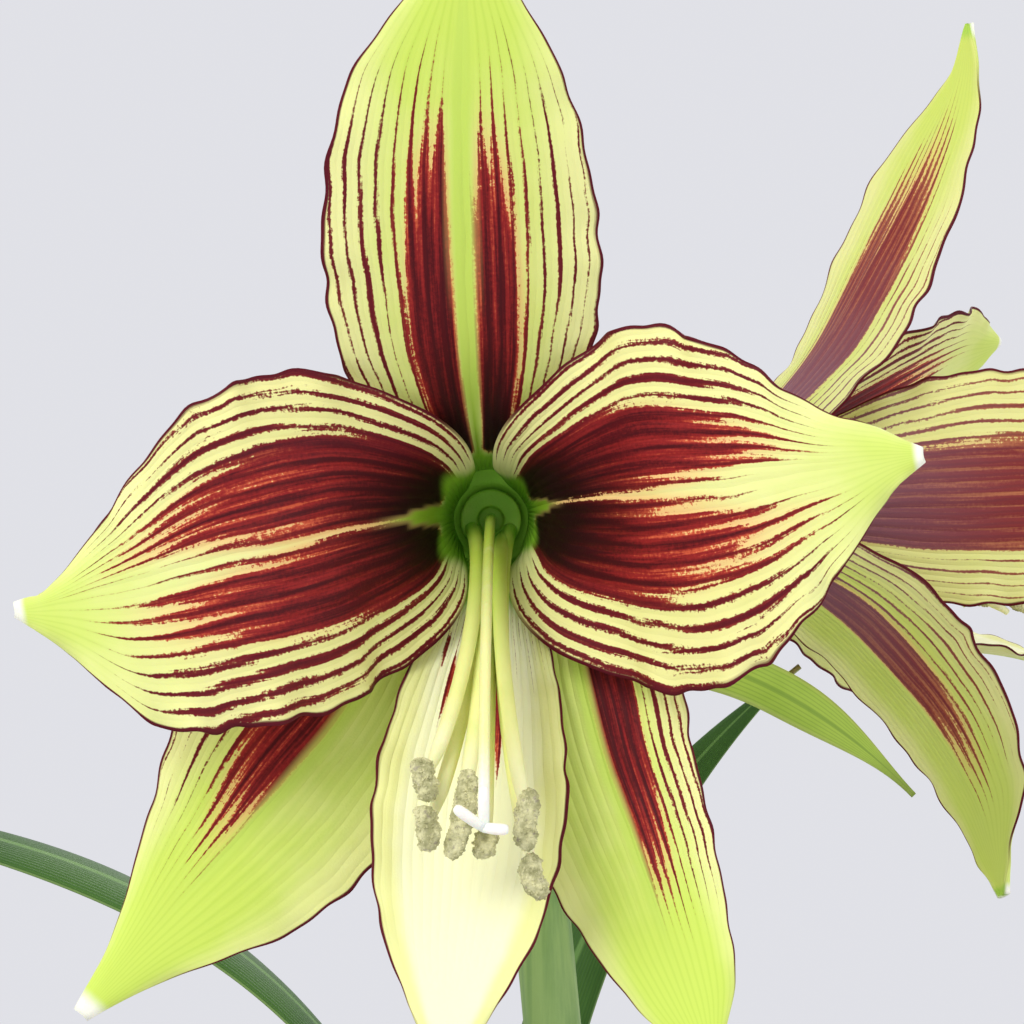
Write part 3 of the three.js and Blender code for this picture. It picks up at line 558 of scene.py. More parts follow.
def shell_faces(rows, columns):
    """The closed skin over the two grids that shell_points gives, with a rim round both."""
    layer = rows * columns
    at = np.arange(layer).reshape(rows, columns)
    a, b, c, d = (at[:-1, :-1].ravel(), at[1:, :-1].ravel(), at[1:, 1:].ravel(), at[:-1, 1:].ravel())
    skin = np.concatenate([np.stack([a, b, c, d], 1), np.stack([d, c, b, a], 1) + layer])
    edge = np.concatenate([at[:, 0], at[-1, 1:], at[-2::-1, -1], at[0, -2:0:-1]])
    following = np.roll(edge, -1)
    rim = np.stack([edge, edge + layer, following + layer, following], 1)
    return np.concatenate([skin, rim]).tolist()


def add_values(piece, label, values):
    layer = piece.data.attributes.new(label, "FLOAT", "POINT")
    layer.data.foreach_set("value", np.asarray(values, np.float32))


def make_blade(name, over, under, marks, material):
    """A blade's piece. Its UV map runs across it and along it, and marks are values at its points."""
    rows, columns = over.shape[:2]
    points = np.concatenate([over.reshape(-1, 3), under.reshape(-1, 3)])
    piece = make_piece(name, points, shell_faces(rows, columns), material)
    mesh = piece.data
    u, v = np.meshgrid(np.linspace(0, 1, columns), np.linspace(0, 1, rows))
    if "across" in marks:
        u, v = marks.pop("across"), marks.pop("along")
    spots = np.tile(np.stack([u.ravel(), v.ravel()], 1), (2, 1))
    corner = np.empty(len(mesh.loops), int)
    mesh.loops.foreach_get("vertex_index", corner)
    uv = mesh.uv_layers.new(name="blade")
    uv.data.foreach_set("uv", spots[corner].astype(np.float32).ravel())
    for label, faces in marks.items():
        values = [np.broadcast_to(face, u.shape).ravel() for face in faces]
        add_values(piece, label, np.concatenate(values))
    return piece


def new_group(name, inputs, outputs):
    """A shader group with number inputs at their first values, number outputs, and its input node."""
    group = bpy.data.node_groups.new(name, "ShaderNodeTree")
    for label, start in inputs.items():
        socket = group.interface.new_socket(label, in_out="INPUT", socket_type="NodeSocketFloat")
        socket.default_value = start
    for label in outputs:
        group.interface.new_socket(label, in_out="OUTPUT", socket_type="NodeSocketFloat")
    return group, wire(group, "NodeGroupInput").outputs


def vein_group():
    """Parallel veins along a blade: a line mask, a rounded height, lengthwise streaks and patches."""
    group, given = new_group(
        "blade_veins", {"Count": 9.0, "Wander": 0.2, "Width": 0.3, "Drift": 0.0},
        ("Across", "Along", "Away", "Line", "Ridge", "Streak", "Patch"),
    )
    spot = wire(group, "ShaderNodeUVMap", uv_map="blade").outputs["UV"]
    parts = wire(group, "ShaderNodeSeparateXYZ", {"Vector": spot}).outputs
    across = calc("MULTIPLY_ADD", parts["X"], 2.0, -1.0)
    along = parts["Y"]
    bent = calc("SUBTRACT", clouds(stretched(spot, (2.6, 5.0, 1)), 1.0, 2.0), 0.5)
    drift = calc("MULTIPLY", between(along, 0.3, 1.0), given["Drift"])
    drifted = calc("MULTIPLY", across, calc("SUBTRACT", 1.0, drift))
    wandered = calc("MULTIPLY", bent, given["Wander"])
    place = calc("MULTIPLY_ADD", drifted, given["Count"], wandered)
    away = calc("ABSOLUTE", calc("SUBTRACT", calc("FRACT", place), 0.5))
    away = calc("MULTIPLY", away, 2.0)
    half_width = calc("MULTIPLY", given["Width"], 0.5)
    wire(group, "NodeGroupOutput", {
        "Across": across,
        "Along": along,
        "Away": away,
        "Line": between(away, half_width, given["Width"], 1.0, 0.0),
        "Ridge": calc("SUBTRACT", 1.0, calc("POWER", away, 2.0)),
        "Streak": clouds(stretched(spot, (70, 5, 1)), 1.0, 4.0, 0.6),
        "Patch": clouds(stretched(spot, (15, 2.4, 1)), 1.0, 2.0, 0.5),
    })
    return group


def skin_group():
    """Soft cloudy tone and the tiny bumps of a plant's skin, from the object's own coordinates."""
    group, given = new_group(
        "plant_skin", {"Tone size": 60.0, "Cell size": 2600.0}, ("Tone", "Cells"),
    )
    place = own_place(group)
    wire(group, "NodeGroupOutput", {
        "Tone": clouds(place, given["Tone size"], 4.0),
        "Cells": clouds(place, given["Cell size"], 2.0),
    })
    return group


blade_veins = vein_group()
plant_skin = skin_group()


def use_group(tree, group, values=()):
    return wire(tree, "ShaderNodeGroup", values, node_tree=group).outputs


leaf_green, tree, surface = new_material("leaf_green")
veins = use_group(tree, blade_veins, {"Count": 11.0, "Wander": 0.25, "Width": 0.42})
skin = use_group(tree, plant_skin, {"Tone size": 34.0})
green = layered(between(skin["Tone"], 0.3, 0.7), colour(40, 76, 24), colour(68, 106, 38))
green = layered(between(veins["Streak"], 0.35, 0.7, 0, 0.2), green, colour(84, 132, 58))
green = layered(calc("MULTIPLY", veins["Line"], 0.35), green, colour(34, 74, 38))
midrib = between(calc("ABSOLUTE", veins["Across"]), 0.03, 0.13, 0.55, 0.0)
green = layered(midrib, green, colour(128, 168, 92))
foot = between(veins["Along"], 0.0, 0.22, 1.0, 0.0)
green = layered(foot, green, colour(172, 196, 128))
dry_tip = between(veins["Along"], 0.965, 1.0)
green = layered(dry_tip, green, colour(150, 132, 70))
edge = between(calc("ABSOLUTE", veins["Across"]), 0.95, 0.99, 0.0, 0.5)
green = layered(edge, green, colour(150, 176, 110))
bumps = calc("MULTIPLY_ADD", veins["Ridge"], 0.8, calc("MULTIPLY", skin["Cells"], 0.1))
feed(surface, {
    "Base Color": green,
    "Roughness": between(skin["Tone"], 0.3, 0.7, 0.44, 0.56),
    "Normal": relief(bumps, 0.00008),
    "Coat Weight": 0.03,
    "Coat Roughness": 0.35,
    "Specular IOR Level": 0.2,
})

s, t = np.linspace(0, 1, LEAF_ROWS), np.linspace(-1, 1, LEAF_COLUMNS)
grid = np.abs(t)[None, :] + 0 * s[:, None]
thick = mix(LEAF_THICK, LEAF_EDGE, grid ** 2) * np.sqrt(np.clip(1 - grid ** 6, 0.12, 1))
keel = KEEL_HEIGHT * np.exp(-(grid / KEEL_SHARE) ** 2) * (1 - 0.6 * s[:, None])
for name, leaf in LEAVES.items():
    over, under = shell_points(lambda a, b: leaf_middle(leaf, a, b), s, t, thick, -0.3 * keel, keel)
    hand_over(make_blade(name + "_blade", over, under, {}, leaf_green), "leaf", name)


# Scape
# The hollow flower stem, oval, as thick as a finger and pale green under a waxy grey bloom. It
# rises from between the leaves beside the bulb's centre and carries both flowers.

SCAPE_FOOT, SCAPE_TOP = np.array([9, -13.5, 156.0]), np.array([-11.3, 0, 406.0])
SCAPE_WIDE, SCAPE_DEEP = (6.4, 5.3), (6.6, 6.4)
SCAPE_BOW, SCAPE_RIBS = 1.5, 13


def scape_rings(k, sides, grow=0.0, ribs=0.0):
    centre = SCAPE_FOOT + (SCAPE_TOP - SCAPE_FOOT) * k[:, None]
    centre[:, 0] += SCAPE_BOW * np.sin(np.pi * k)
    turn = circle(sides)
    rib = 1 + ribs * np.cos(SCAPE_RIBS * turn)
    wide = (mix(*SCAPE_WIDE, ease(0, 0.5, k)) + grow)[:, None] * rib
    deep = (mix(*SCAPE_DEEP, ease(0, 0.5, k)) + grow)[:, None] * rib
    x = centre[:, :1] + wide * np.cos(turn)
    y = centre[:, 1:2] + deep * np.sin(turn)
    return np.stack([x, y, centre[:, 2:] + 0 * x], -1)


waxy_stem, tree, surface = new_material("waxy_stem")
place = own_place(tree)
skin = use_group(tree, plant_skin, {"Tone size": 46.0})
fibre = clouds(stretched(place, (700, 700, 26)), 1.0, 3.0)
height = wire(tree, "ShaderNodeSeparateXYZ", {"Vector": place}).outputs["Z"]
stem = layered(between(fibre, 0.3, 0.7), colour(98, 136, 58), colour(132, 164, 80))
stem = layered(between(skin["Tone"], 0.4, 0.7, 0, 0.35), stem, colour(160, 184, 122))
stem = layered(between(height, 0.15, 0.21, 0.7, 0.0), stem, colour(150, 92, 74))
bumps = calc("MULTIPLY_ADD", fibre, 0.6, calc("MULTIPLY", skin["Cells"], 0.3))
feed(surface, {
    "Base Color": stem,
    "Roughness": between(skin["Tone"], 0.35, 0.7, 0.4, 0.62),
    "Normal": relief(bumps, 0.0002),
})
scape = make_piece("scape_stem", *capped(scape_rings(np.linspace(0, 1, 90), 64, ribs=0.006)), waxy_stem)
hand_over(scape, "scape", "scape")


# Bulb
# A round bulb half out of the soil. Its leaves and stem come through slots in its thick neck, its
# dry brown tunics split into papery flaps, and fleshy roots go down into the soil.

BULB_BASE, BULB_WAIST, BULB_TOP = 70, 108, 166
BULB_RADIUS, NECK_RADIUS = 38, 23
NECK_FOOT = BULB_TOP - 12
ROOT_COUNT, ROOT_RADIUS, ROOT_REACH, ROOT_LOWEST = 6, 2.2, 40, 22
SLOT_GAP, TUNIC_THICK = 0.4, 0.35
TUNIC_FLAPS = (  # turn and half spread in radians, foot and top height, and lift off the bulb
    (0.2, 1.5, 98, 150, 0.5), (1.9, 1.2, 112, 157, 1.0), (3.2, 1.5, 102, 146, 0.5),
    (4.5, 1.3, 108, 155, 1.1), (5.5, 1.0, 120, 149, 1.7), (2.6, 0.9, 118, 160, 1.6),
)


def bulb_radius(z):
    low = z < BULB_WAIST
    span = np.where(low, BULB_BASE, NECK_FOOT) - BULB_WAIST
    return mix(BULB_RADIUS, np.where(low, 15, NECK_RADIUS), np.clip((z - BULB_WAIST) / span, 0, 1) ** 2.2)


def tube(centres, radii, sides, start_up=(0.3, 0.2, 1.0)):
    """Rings of points round a line of centres, carried along it without twisting."""
    centres = np.asarray(centres, float)
    radii = np.broadcast_to(radii, len(centres))
    tangent = unit(np.gradient(centres, axis=0))
    normal = square_to(np.array(start_up, float), tangent[0])
    turn = circle(sides)[:, None]
    rings = []
    for place, along_it, radius in zip(centres, tangent, radii):
        normal = square_to(normal, along_it)
        other = np.cross(along_it, normal)
        rings.append(place + radius * (np.cos(turn) * normal + np.sin(turn) * other))
    return np.array(rings)


def joined(*bodies):
    """Several closed bodies of points and faces as one."""
    points, faces, count = [], [], 0
    for body_points, body_faces in bodies:
        points.append(np.asarray(body_points))
        faces += [[i + count for i in face] for face in facing_out(body_points, body_faces)]
        count += len(body_points)
    return np.concatenate(points), faces


dry_tunic, tree, surface = new_material("dry_tunic")
place = own_place(tree)
parts = wire(tree, "ShaderNodeSeparateXYZ", {"Vector": place}).outputs
turn = calc("ARCTAN2", parts["Y"], parts["X"])
climb = calc("MULTIPLY", parts["Z"], 9.0)
round_up = wire(tree, "ShaderNodeCombineXYZ", {"X": turn, "Y": climb, "Z": 0.0}).outputs[0]
fibre = clouds(stretched(round_up, (34, 1.6, 1)), 1.0, 5.0, 0.6)
patch = clouds(place, 44.0, 4.0)
husk = layered(between(fibre, 0.3, 0.7), colour(98, 58, 34), colour(166, 112, 68))
husk = layered(between(patch, 0.45, 0.7, 0, 0.7), husk, colour(190, 146, 98))
husk = layered(between(fibre, 0.62, 0.74, 0, 0.6), husk, colour(64, 36, 24))
fresh = calc("MULTIPLY", between(parts["Z"], 0.136, 0.156), between(patch, 0.38, 0.6, 1.0, 0.35))
husk = layered(fresh, husk, colour(178, 186, 118))
rosy = between(clouds(place, 30.0, 3.0), 0.52, 0.68, 0, 0.5)
husk = layered(rosy, husk, colour(140, 66, 50))
feed(surface, {
    "Base Color": husk,
    "Roughness": between(fibre, 0.3, 0.7, 0.45, 0.75),
    "Normal": relief(fibre, 0.0006),
})

profile = [[0, BULB_BASE - 3], [11, BULB_BASE - 3], [14, BULB_BASE - 0.5]]
profile += [[float(bulb_radius(z)), z] for z in np.linspace(BULB_BASE + 1, NECK_FOOT, 40)]
profile += [[NECK_RADIUS - 1, BULB_TOP - 4], [NECK_RADIUS - 2, BULB_TOP - 1], [NECK_RADIUS - 4, BULB_TOP]]
profile += [[NECK_RADIUS - 8, BULB_TOP], [0, BULB_TOP]]
bulb_points, bulb_faces = turned_body(profile, 120)
angle = np.arctan2(bulb_points[:, 1], bulb_points[:, 0])
swell = 0.25 * np.sin(23 * angle + 0.05 * bulb_points[:, 2]) + 0.25 * np.sin(41 * angle + 2) - 0.5
swell *= ease(0, 14, np.hypot(bulb_points[:, 0], bulb_points[:, 1]))
bulb_points[:, 0] += swell * np.cos(angle)
bulb_points[:, 1] += swell * np.sin(angle)
bulb = make_piece("bulb_body", bulb_points, bulb_faces, dry_tunic)

s, t = np.array([-0.003, 0.03, 0.0667, 0.1333, 0.2]), np.linspace(-1, 1, 13)
thick = mix(LEAF_THICK, LEAF_EDGE, t[None, :] ** 2 + 0 * s[:, None]) + 2 * SLOT_GAP
slots = []
for leaf in LEAVES.values():
    both = shell_points(lambda a, b: leaf_middle(leaf, a, b, SLOT_GAP), s, t, thick)
    slots.append((np.reshape(both, (-1, 3)), shell_faces(len(s), len(t))))
stem_rings = scape_rings(np.linspace(0, 0.2, 6), 32, SLOT_GAP)
stem_rings[0, :, 2] -= SLOT_GAP
slots.append(capped(stem_rings))
for points, faces in slots:
    cut_away(bulb, make_piece("slot_cutter", points, faces))

root_bodies = []
k = np.linspace(0, 1, 30)
for i in range(ROOT_COUNT):
    turn = 2 * math.pi * (i + 0.15 * math.sin(5 * i)) / ROOT_COUNT
    x, y = math.cos(turn), math.sin(turn)
    reach = ROOT_REACH * (0.72 + 0.12 * math.sin(3 * i))
    path = [
        [6 * x, 6 * y, BULB_BASE + 2],
        [12 * x, 12 * y, BULB_BASE - 20],
        [reach * x, reach * y, BULB_BASE - 16],
        [reach * x - 6 * y, reach * y + 6 * x, ROOT_LOWEST + 6 * math.sin(2 * i)],
    ]
    root_bodies.append(capped(tube(bezier(path, k), ROOT_RADIUS * 0.94 * (1 - 0.5 * k), 12)))
roots = make_piece("bulb_roots", *joined(*root_bodies), dry_tunic)

flaps = []
chance = np.random.default_rng(21)
a, z = np.linspace(-1, 1, 61), np.linspace(0, 1, 30)
for turn, spread, foot, top, lift in TUNIC_FLAPS:
    torn = chance.uniform(-1.2, 1.2, len(a))
    ragged = 5 * np.abs(np.sin(5.1 * a + turn)) + 3 * np.sin(17 * a + 3 * turn) + torn
    ceiling = top - 10 * a ** 2 + ragged * 0.6
    height = foot + (ceiling - foot)[None, :] * z[:, None]
    crinkle = 0.2 * np.sin(9 * a + turn) + 0.15 * np.sin(31 * a)
    curl = (lift + crinkle[None, :] + 2.2 * z[:, None] ** 6) * ease(0, 0.12, z)[:, None]
    around = turn + a[None, :] * spread * mix(0.8, 1.0, ease(0, 0.5, z))[:, None]
    out = bulb_radius(height) + curl
    sides = [
        np.stack([reach * np.cos(around), reach * np.sin(around), height], -1)
        for reach in (out + TUNIC_THICK, out)
    ]
    flaps.append((np.reshape(sides, (-1, 3)), shell_faces(len(z), len(a))))
tunics = make_piece("bulb_tunics", *joined(*flaps), dry_tunic)
hand_over(bulb, "tunic", "bulb")
hand_over(roots, "tunic", "bulb")
hand_over(tunics, "tunic")


# Spathe valves
# The two halves of the sheath that wrapped the buds, now bent down from the stem's top: narrow
# pointed blades, folded along the middle, thin and bright green with close veins.

VALVE_HALF, VALVE_THICK = 6.8, 0.9
VALVE_BOW, VALVE_TIP_BOW = 7, 12
VALVE_ROWS, VALVE_COLUMNS = 90, 21
VALVES = {
    "spathe_valve_1": dict(path=[[-3.8, -0.6, 398], [-2, -1, 411], [32, -9, 411], [61, -9, 380.5]],
                           across=(0, 1, 0), spread=(0.66, 0.1, 0.75)),
    "spathe_valve_2": dict(path=[[-18.6, 0.6, 398], [-20.6, 2, 413], [-44, 18, 410], [-56, 32, 376]],
                           across=(0, -1, 0), spread=(-0.5, -0.7, 0.5)),
}


def valve_middle(valve, s, t):
    tangent = heading_of(valve["path"], s)
    open_out = ease(0.1, 0.45, s)[..., None]
    across = mix(np.array(valve["across"], float), np.array(valve["spread"], float), open_out)
    across = square_to(across, tangent)
    upper = np.cross(across, tangent)
    foot = mix(0.72, 1, ease(0, 0.2, s))
    strap = mix(1, 0.64, ease(0.2, 0.7, s))
    half = VALVE_HALF * foot * strap * (1 - 0.88 * ease(0.7, 1, s) ** 1.6)
    bend = mix(1 / VALVE_BOW, 1 / VALVE_TIP_BOW, s)
    return arched(bezier(valve["path"], s), across, upper, half[:, None], t[None, :], bend[:, None])


spathe_green, tree, surface = new_material("spathe_green")
veins = use_group(tree, blade_veins, {"Count": 6.0, "Wander": 0.15, "Width": 0.4})
skin = use_group(tree, plant_skin, {"Tone size": 60.0})
sheath = layered(between(skin["Tone"], 0.3, 0.7), colour(146, 180, 44), colour(172, 200, 72))
sheath = layered(calc("MULTIPLY", veins["Line"], 0.4), sheath, colour(112, 150, 44))
fold = between(calc("ABSOLUTE", veins["Across"]), 0.02, 0.12, 0.6, 0.0)
sheath = layered(fold, sheath, colour(104, 140, 40))
papery = between(calc("ABSOLUTE", veins["Across"]), 0.72, 1.0, 0.0, 0.55)
sheath = layered(papery, sheath, colour(198, 206, 116))
sheath = layered(between(veins["Along"], 0.9, 1.0, 0.0, 0.6), sheath, colour(120, 132, 52))
bumps = calc("MULTIPLY_ADD", veins["Ridge"], 0.8, calc("MULTIPLY", skin["Cells"], 0.25))
bumps = calc("MULTIPLY", bumps, between(veins["Along"], 0.35, 0.7, 1.0, 0.0))
feed(surface, {"Base Color": sheath, "Roughness": 0.46, "Normal": relief(bumps, 0.00018)})

s, t = np.linspace(0, 1, VALVE_ROWS), np.linspace(-1, 1, VALVE_COLUMNS)
grid = np.abs(t)[None, :] + 0 * s[:, None]
thick = VALVE_THICK * np.sqrt(np.clip(1 - grid ** 6, 0.2, 1))
for name, valve in VALVES.items():
    over, under = shell_points(lambda a, b: valve_middle(valve, a, b), s, t, thick)
    hand_over(make_blade(name + "_blade", over, under, {}, spathe_green), "spathe", name)


# Stalks
# Each flower's short stalk ends in a three-sided green ovary and, past a narrow waist, the cup in
# which the six tepals stand. The front flower looks straight out and the other one to the right.

FLOWERS = {
    "front": dict(throat=(-15.6, -60, 430.7), facing=0,
                  stalk=[[-14.2, -2.2, 406.7], [-14.6, -1, 425], [-15.6, -7, 430.7], [-15.6, -21, 430.7]]),
    "right": dict(throat=(40, 15, 434), facing=105,
                  stalk=[[-8.4, 1.6, 406.7], [-9.6, 1.8, 424], [-11, 1.4, 434], [2.3, 4.9, 434]]),
}
CUP = [
    [0, -28.5], [4.4, -27.6], [5.6, -24.6], [10.6, -24.6], [9, -28], [5.6, -31.5], [4.3, -33.5],
    [4.9, -36.5], [4.6, -40], [2.8, -42.5], [0, -42.8],
]
OVARY_RIDGE, PEDICEL_RADIUS = 0.06, 2.5


def placed(flower, points):
    """Points given right, up and ahead of a flower's throat, where the flower stands."""
    turn = math.radians(flower["facing"])
    ahead = np.array([math.sin(turn), -math.cos(turn), 0])
    up = np.array([0, 0, 1.0])
    right = np.cross(up, ahead)
    return np.array(flower["throat"]) + np.asarray(points, float) @ np.array([right, up, ahead])


def value_at(tree, label):
    return wire(tree, "ShaderNodeAttribute", attribute_name=label).outputs["Fac"]


fresh_stalk, tree, surface = new_material("fresh_stalk")
skin = use_group(tree, plant_skin, {"Tone size": 90.0})
sap = layered(between(skin["Tone"], 0.3, 0.7), colour(112, 152, 52), colour(150, 184, 78))
sap = layered(value_at(tree, "cup_inside"), sap, colour(140, 196, 56))
feed(surface, {
    "Base Color": sap,
    "Roughness": between(skin["Tone"], 0.3, 0.7, 0.46, 0.6),
    "Normal": relief(skin["Cells"], 0.0001),
    "Specular IOR Level": 0.2,
})

k = np.linspace(0, 1, 40)
for name, flower in FLOWERS.items():
    points, faces = turned_body(rounded(CUP, 1.6), 72)
    angle = np.arctan2(points[:, 1], points[:, 0])
    ovary = ease(-33.5, -36, points[:, 2]) * (1 - ease(-41, -42.8, points[:, 2]))
    points[:, :2] *= (1 + OVARY_RIDGE * ovary * np.cos(3 * angle))[:, None]
    pedicel = capped(tube(bezier(flower["stalk"], k), PEDICEL_RADIUS + 0.4 * k ** 4, 28))
    inside = ease(-28.6, -28.0, points[:, 2])
    whole = joined((placed(flower, points), faces), pedicel)
    stalk = make_piece(name + "_stalk_green", *whole, fresh_stalk)
    add_values(stalk, "cup_inside", np.concatenate([inside, np.zeros(len(pedicel[0]))]))
    hand_over(stalk, "stalk", name + "_stalk")


# Tepals
# Three outer sepals and three inner petals to a flower, stiff and matt, cream and lime green. Each
# has a green midrib, maroon flushes beside it, painted near black with shade towards the throat, and
# fine crimson veins, broken into specks at their ends, and a dark wavy margin. Their green feet are
# painted darker with shade deep in the throat, and the outer faces' flushes carry a painted grey-mauve
# sheen near the foot. The tip is a small pale callus.

STATIONS = np.array([0, 0.16, 0.32, 0.48, 0.64, 0.8, 0.92, 1])
TEPAL_THICK, TEPAL_EDGE, TEPAL_TIP = 1.0, 0.7, 1.3
RIB_HEIGHT, RIB_WIDTH = 0.35, 1.4
PETALS = ("left", "right", "bottom")

STRAIGHT = dict(cup=0, roll=1, twist=0)
TEPALS = {
    "front": {
        "top": dict(
            reach=[9, 12, 17.5, 29, 46, 66, 80, 88], rise=[-24, -11, 0, 12, 22, 31, 36, 38],
            left=[6, 10.5, 16, 20.5, 21.6, 17, 6.6, 0.8], right=[6, 10.5, 16, 20.5, 21, 15.8, 7, 0.8],
            angle=[100, 96.5, 92.4], cup=0.004, ruffle=0.35,
        ),
        "left": dict(
            reach=[6.8, 9.3, 14, 25, 40, 55, 65, 71], rise=[-24, -10, 4, 18, 29, 35, 37, 37],
            left=[6, 12, 21, 26, 25.8, 22, 8, 0.8], right=[6, 11.5, 18.5, 26, 23.8, 10.2, 2.4, 0.8],
            angle=[174, 187, 190.7], cup=0.002, ruffle=0.9,
        ),
        "right": dict(
            reach=[6.8, 9.3, 14, 25, 38, 50, 59, 65], rise=[-24, -10, 4, 18, 29, 35, 37, 37],
            left=[6, 12, 18.5, 26, 20.6, 9.6, 5, 0.8], right=[6, 14.5, 25.5, 31.5, 28, 16.2, 5.6, 0.8],
            angle=[16, 9, 8.6], cup=0.002, ruffle=0.9,
        ),
        "bottom": dict(
            reach=[8, 11.2, 18, 30, 46, 62, 74, 81.5], rise=[-24, -12, -2, 8, 19, 29, 35, 38],
            left=[5, 7.5, 9.5, 13.3, 15.6, 12.3, 5.6, 0.8], right=[5, 7.5, 9.5, 13.3, 15.6, 12.3, 5.6, 0.8],
            angle=[271, 266.5, 265.6], cup=0.03, roll=0, ruffle=0.6,
        ),
        "lower_left": dict(
            reach=[9.6, 12.8, 19, 32, 50, 68, 85, 97], rise=[-24, -14, -5, 3, 11, 19, 24.5, 27],
            left=[6, 9, 13, 16.5, 18.6, 15.6, 6.4, 1], right=[6, 9, 14, 19, 22.5, 13.6, 4.4, 1],
            angle=[222, 234.5, 230.5], ruffle=0.4,
        ),
        "lower_right": dict(
            reach=[9.6, 12.8, 19, 32, 50, 66, 79, 89], rise=[-24, -14, -5, 3, 11, 19, 24.5, 27],
            left=[6, 9, 13, 15.5, 13.2, 10.8, 7.8, 0.9], right=[6, 9, 13, 16.5, 16, 12.2, 7, 0.9],
            angle=[318, 296, 292.3], ruffle=0.4,
        ),
    },
    "right": {
        "top": dict(
            reach=[9, 12, 17.5, 29, 46, 66, 81, 92.5], rise=[-24, -11, -2.5, 7.8, 18.3, 28.8, 34.5, 37],
            left=[6, 10.5, 18, 25.5, 21.5, 14, 7.6, 0.8], right=[6, 10.5, 12, 12, 16.5, 15, 3, 0.8],
            angle=[96, 92, 92], cup=0.004, roll=0.5, ruffle=0.35, twist=14,
        ),
        "left": dict(
            reach=[6.8, 9.3, 14, 22, 31, 39, 44, 47], rise=[-24, -10, 4, 20, 35, 49, 57, 61],
            left=[6, 10, 15.5, 19.5, 20, 16.5, 7.5, 0.8], right=[6, 10, 16, 22.5, 23.5, 18, 7, 0.8],
            angle=[178, 178.5, 177], cup=0.012, ruffle=0.7,
        ),
        "right": dict(
            reach=[6.8, 9.3, 14, 22, 30, 38, 42, 44.6], rise=[-24, -10, 4, 20, 34, 47, 55, 59],
            left=[6, 10, 16, 22, 24, 18, 7, 0.8], right=[6, 10, 16, 21, 22, 17, 7, 0.8],
            angle=[30, 42, 48], cup=0.012, ruffle=0.7,
        ),
        "bottom": dict(
            reach=[8, 11.5, 18, 24, 28, 30, 33, 37], rise=[-24, -12, -1, 16, 33, 48, 58, 64],
            left=[5, 7.5, 9.5, 12.5, 13.6, 11.5, 5.6, 0.8], right=[5, 7.5, 9.5, 12.5, 13.6, 11.5, 5.6, 0.8],
            angle=[275, 278, 278], cup=0.03, roll=0, ruffle=0.6,
        ),
        "lower_left": dict(
            reach=[9.6, 12.8, 19, 30, 44, 60, 72, 79], rise=[-24, -14, -4, 9, 20, 27.5, 29.5, 30],
            left=[6, 9, 11, 11, 10.5, 8, 4, 1], right=[6, 9, 15, 24, 22.5, 15, 5, 1],
            angle=[222, 240, 245], ruffle=0.4, twist=-16,
        ),
        "lower_right": dict(
            reach=[9.6, 12.8, 19, 28, 39, 50, 57, 62], rise=[-24, -14, -4, 9, 21, 33, 40, 43],
            left=[6, 9, 12, 13, 13, 9, 6, 0.9], right=[6, 9, 12, 14, 14, 11, 7, 0.9],
            angle=[318, 318, 318], ruffle=0.4,
        ),
    },
}

# Markings of each side of a tepal, left side first. A flush runs beside the midrib between two
# shares of the half width and is whole up to the first share of the length, gone at the second.
# Lines are the outer veins' share of the room between them, and where along they stop. A stripe
# has its middle, its half width and where along it starts and stops. A split weakens the flush
# up to a share of the half width, between two shares of the length.
NO_FLUSH = (0.02, 0.05, 0.2, 0.3, 0.0)
UNMARKED = dict(rib=(0, 0), rib_end=0.1, throat=0.02, tip=0.6, flush=(NO_FLUSH, NO_FLUSH), stripes=())
INNER_FACES = {
    "top": dict(rib=(0.045, 0.09), rib_end=0.97, lime=0.5, throat=0.13, lines=((0.3, 1.0), (0.3, 1.0)),
                flush=((0.09, 0.42, 0.5, 0.88, 1.6), (0.09, 0.42, 0.5, 0.88, 1.6))),
    "left": dict(rib=(0.17, 0.12), point=0.08, rib_end=0.42, lime=0.2, tip=0.48, throat=0.13,
                 lines=((0.46, 0.99), (0.46, 0.99)), split=(0.2, 0.16, 0.9, 0.42),
                 flush=((-0.01, 0.58, 0.3, 1.0, 1.6), (-0.01, 0.64, 0.32, 1.02, 1.6))),
    "right": dict(rib=(0.15, 0.1), point=0.05, rib_end=0.3, lime=0.2, tip=0.48, throat=0.07,
                  lines=((0.42, 0.93), (0.47, 0.98)), split=(0.22, 0.14, 0.95, 0.46),
                  flush=((-0.01, 0.58, 0.28, 0.94, 1.6), (-0.01, 0.56, 0.28, 0.94, 1.6))),
    "bottom": dict(rib=(0.1, 0.03), rib_end=0.4, lime=-0.6, tip=0.1, throat=0.2,
                   lines=((0.16, 0.62), (0.16, 0.62)),
                   stripes=((0.23, 0.06, 0.34, 0.62), (-0.42, 0.05, 0.36, 0.56), (-0.6, 0.03, 0.3, 0.5))),
    "lower_left": dict(rib=(0.06, 0.05), rib_end=0.9, lime=0.6, throat=0.1,
                       lines=((0.0, 0.3), (0.34, 0.97)), stripes=((0.34, 0.12, 0.2, 0.44),),
                       flush=(NO_FLUSH, (0.03, 0.5, 0.5, 0.92, 1.5))),
    "lower_right": dict(rib=(0.06, 0.05), rib_end=0.9, lime=0.6, throat=0.08,
                        lines=((0.34, 0.97), (0.0, 0.3)), flush=((0.03, 0.5, 0.5, 0.9, 1.5), NO_FLUSH)),
}
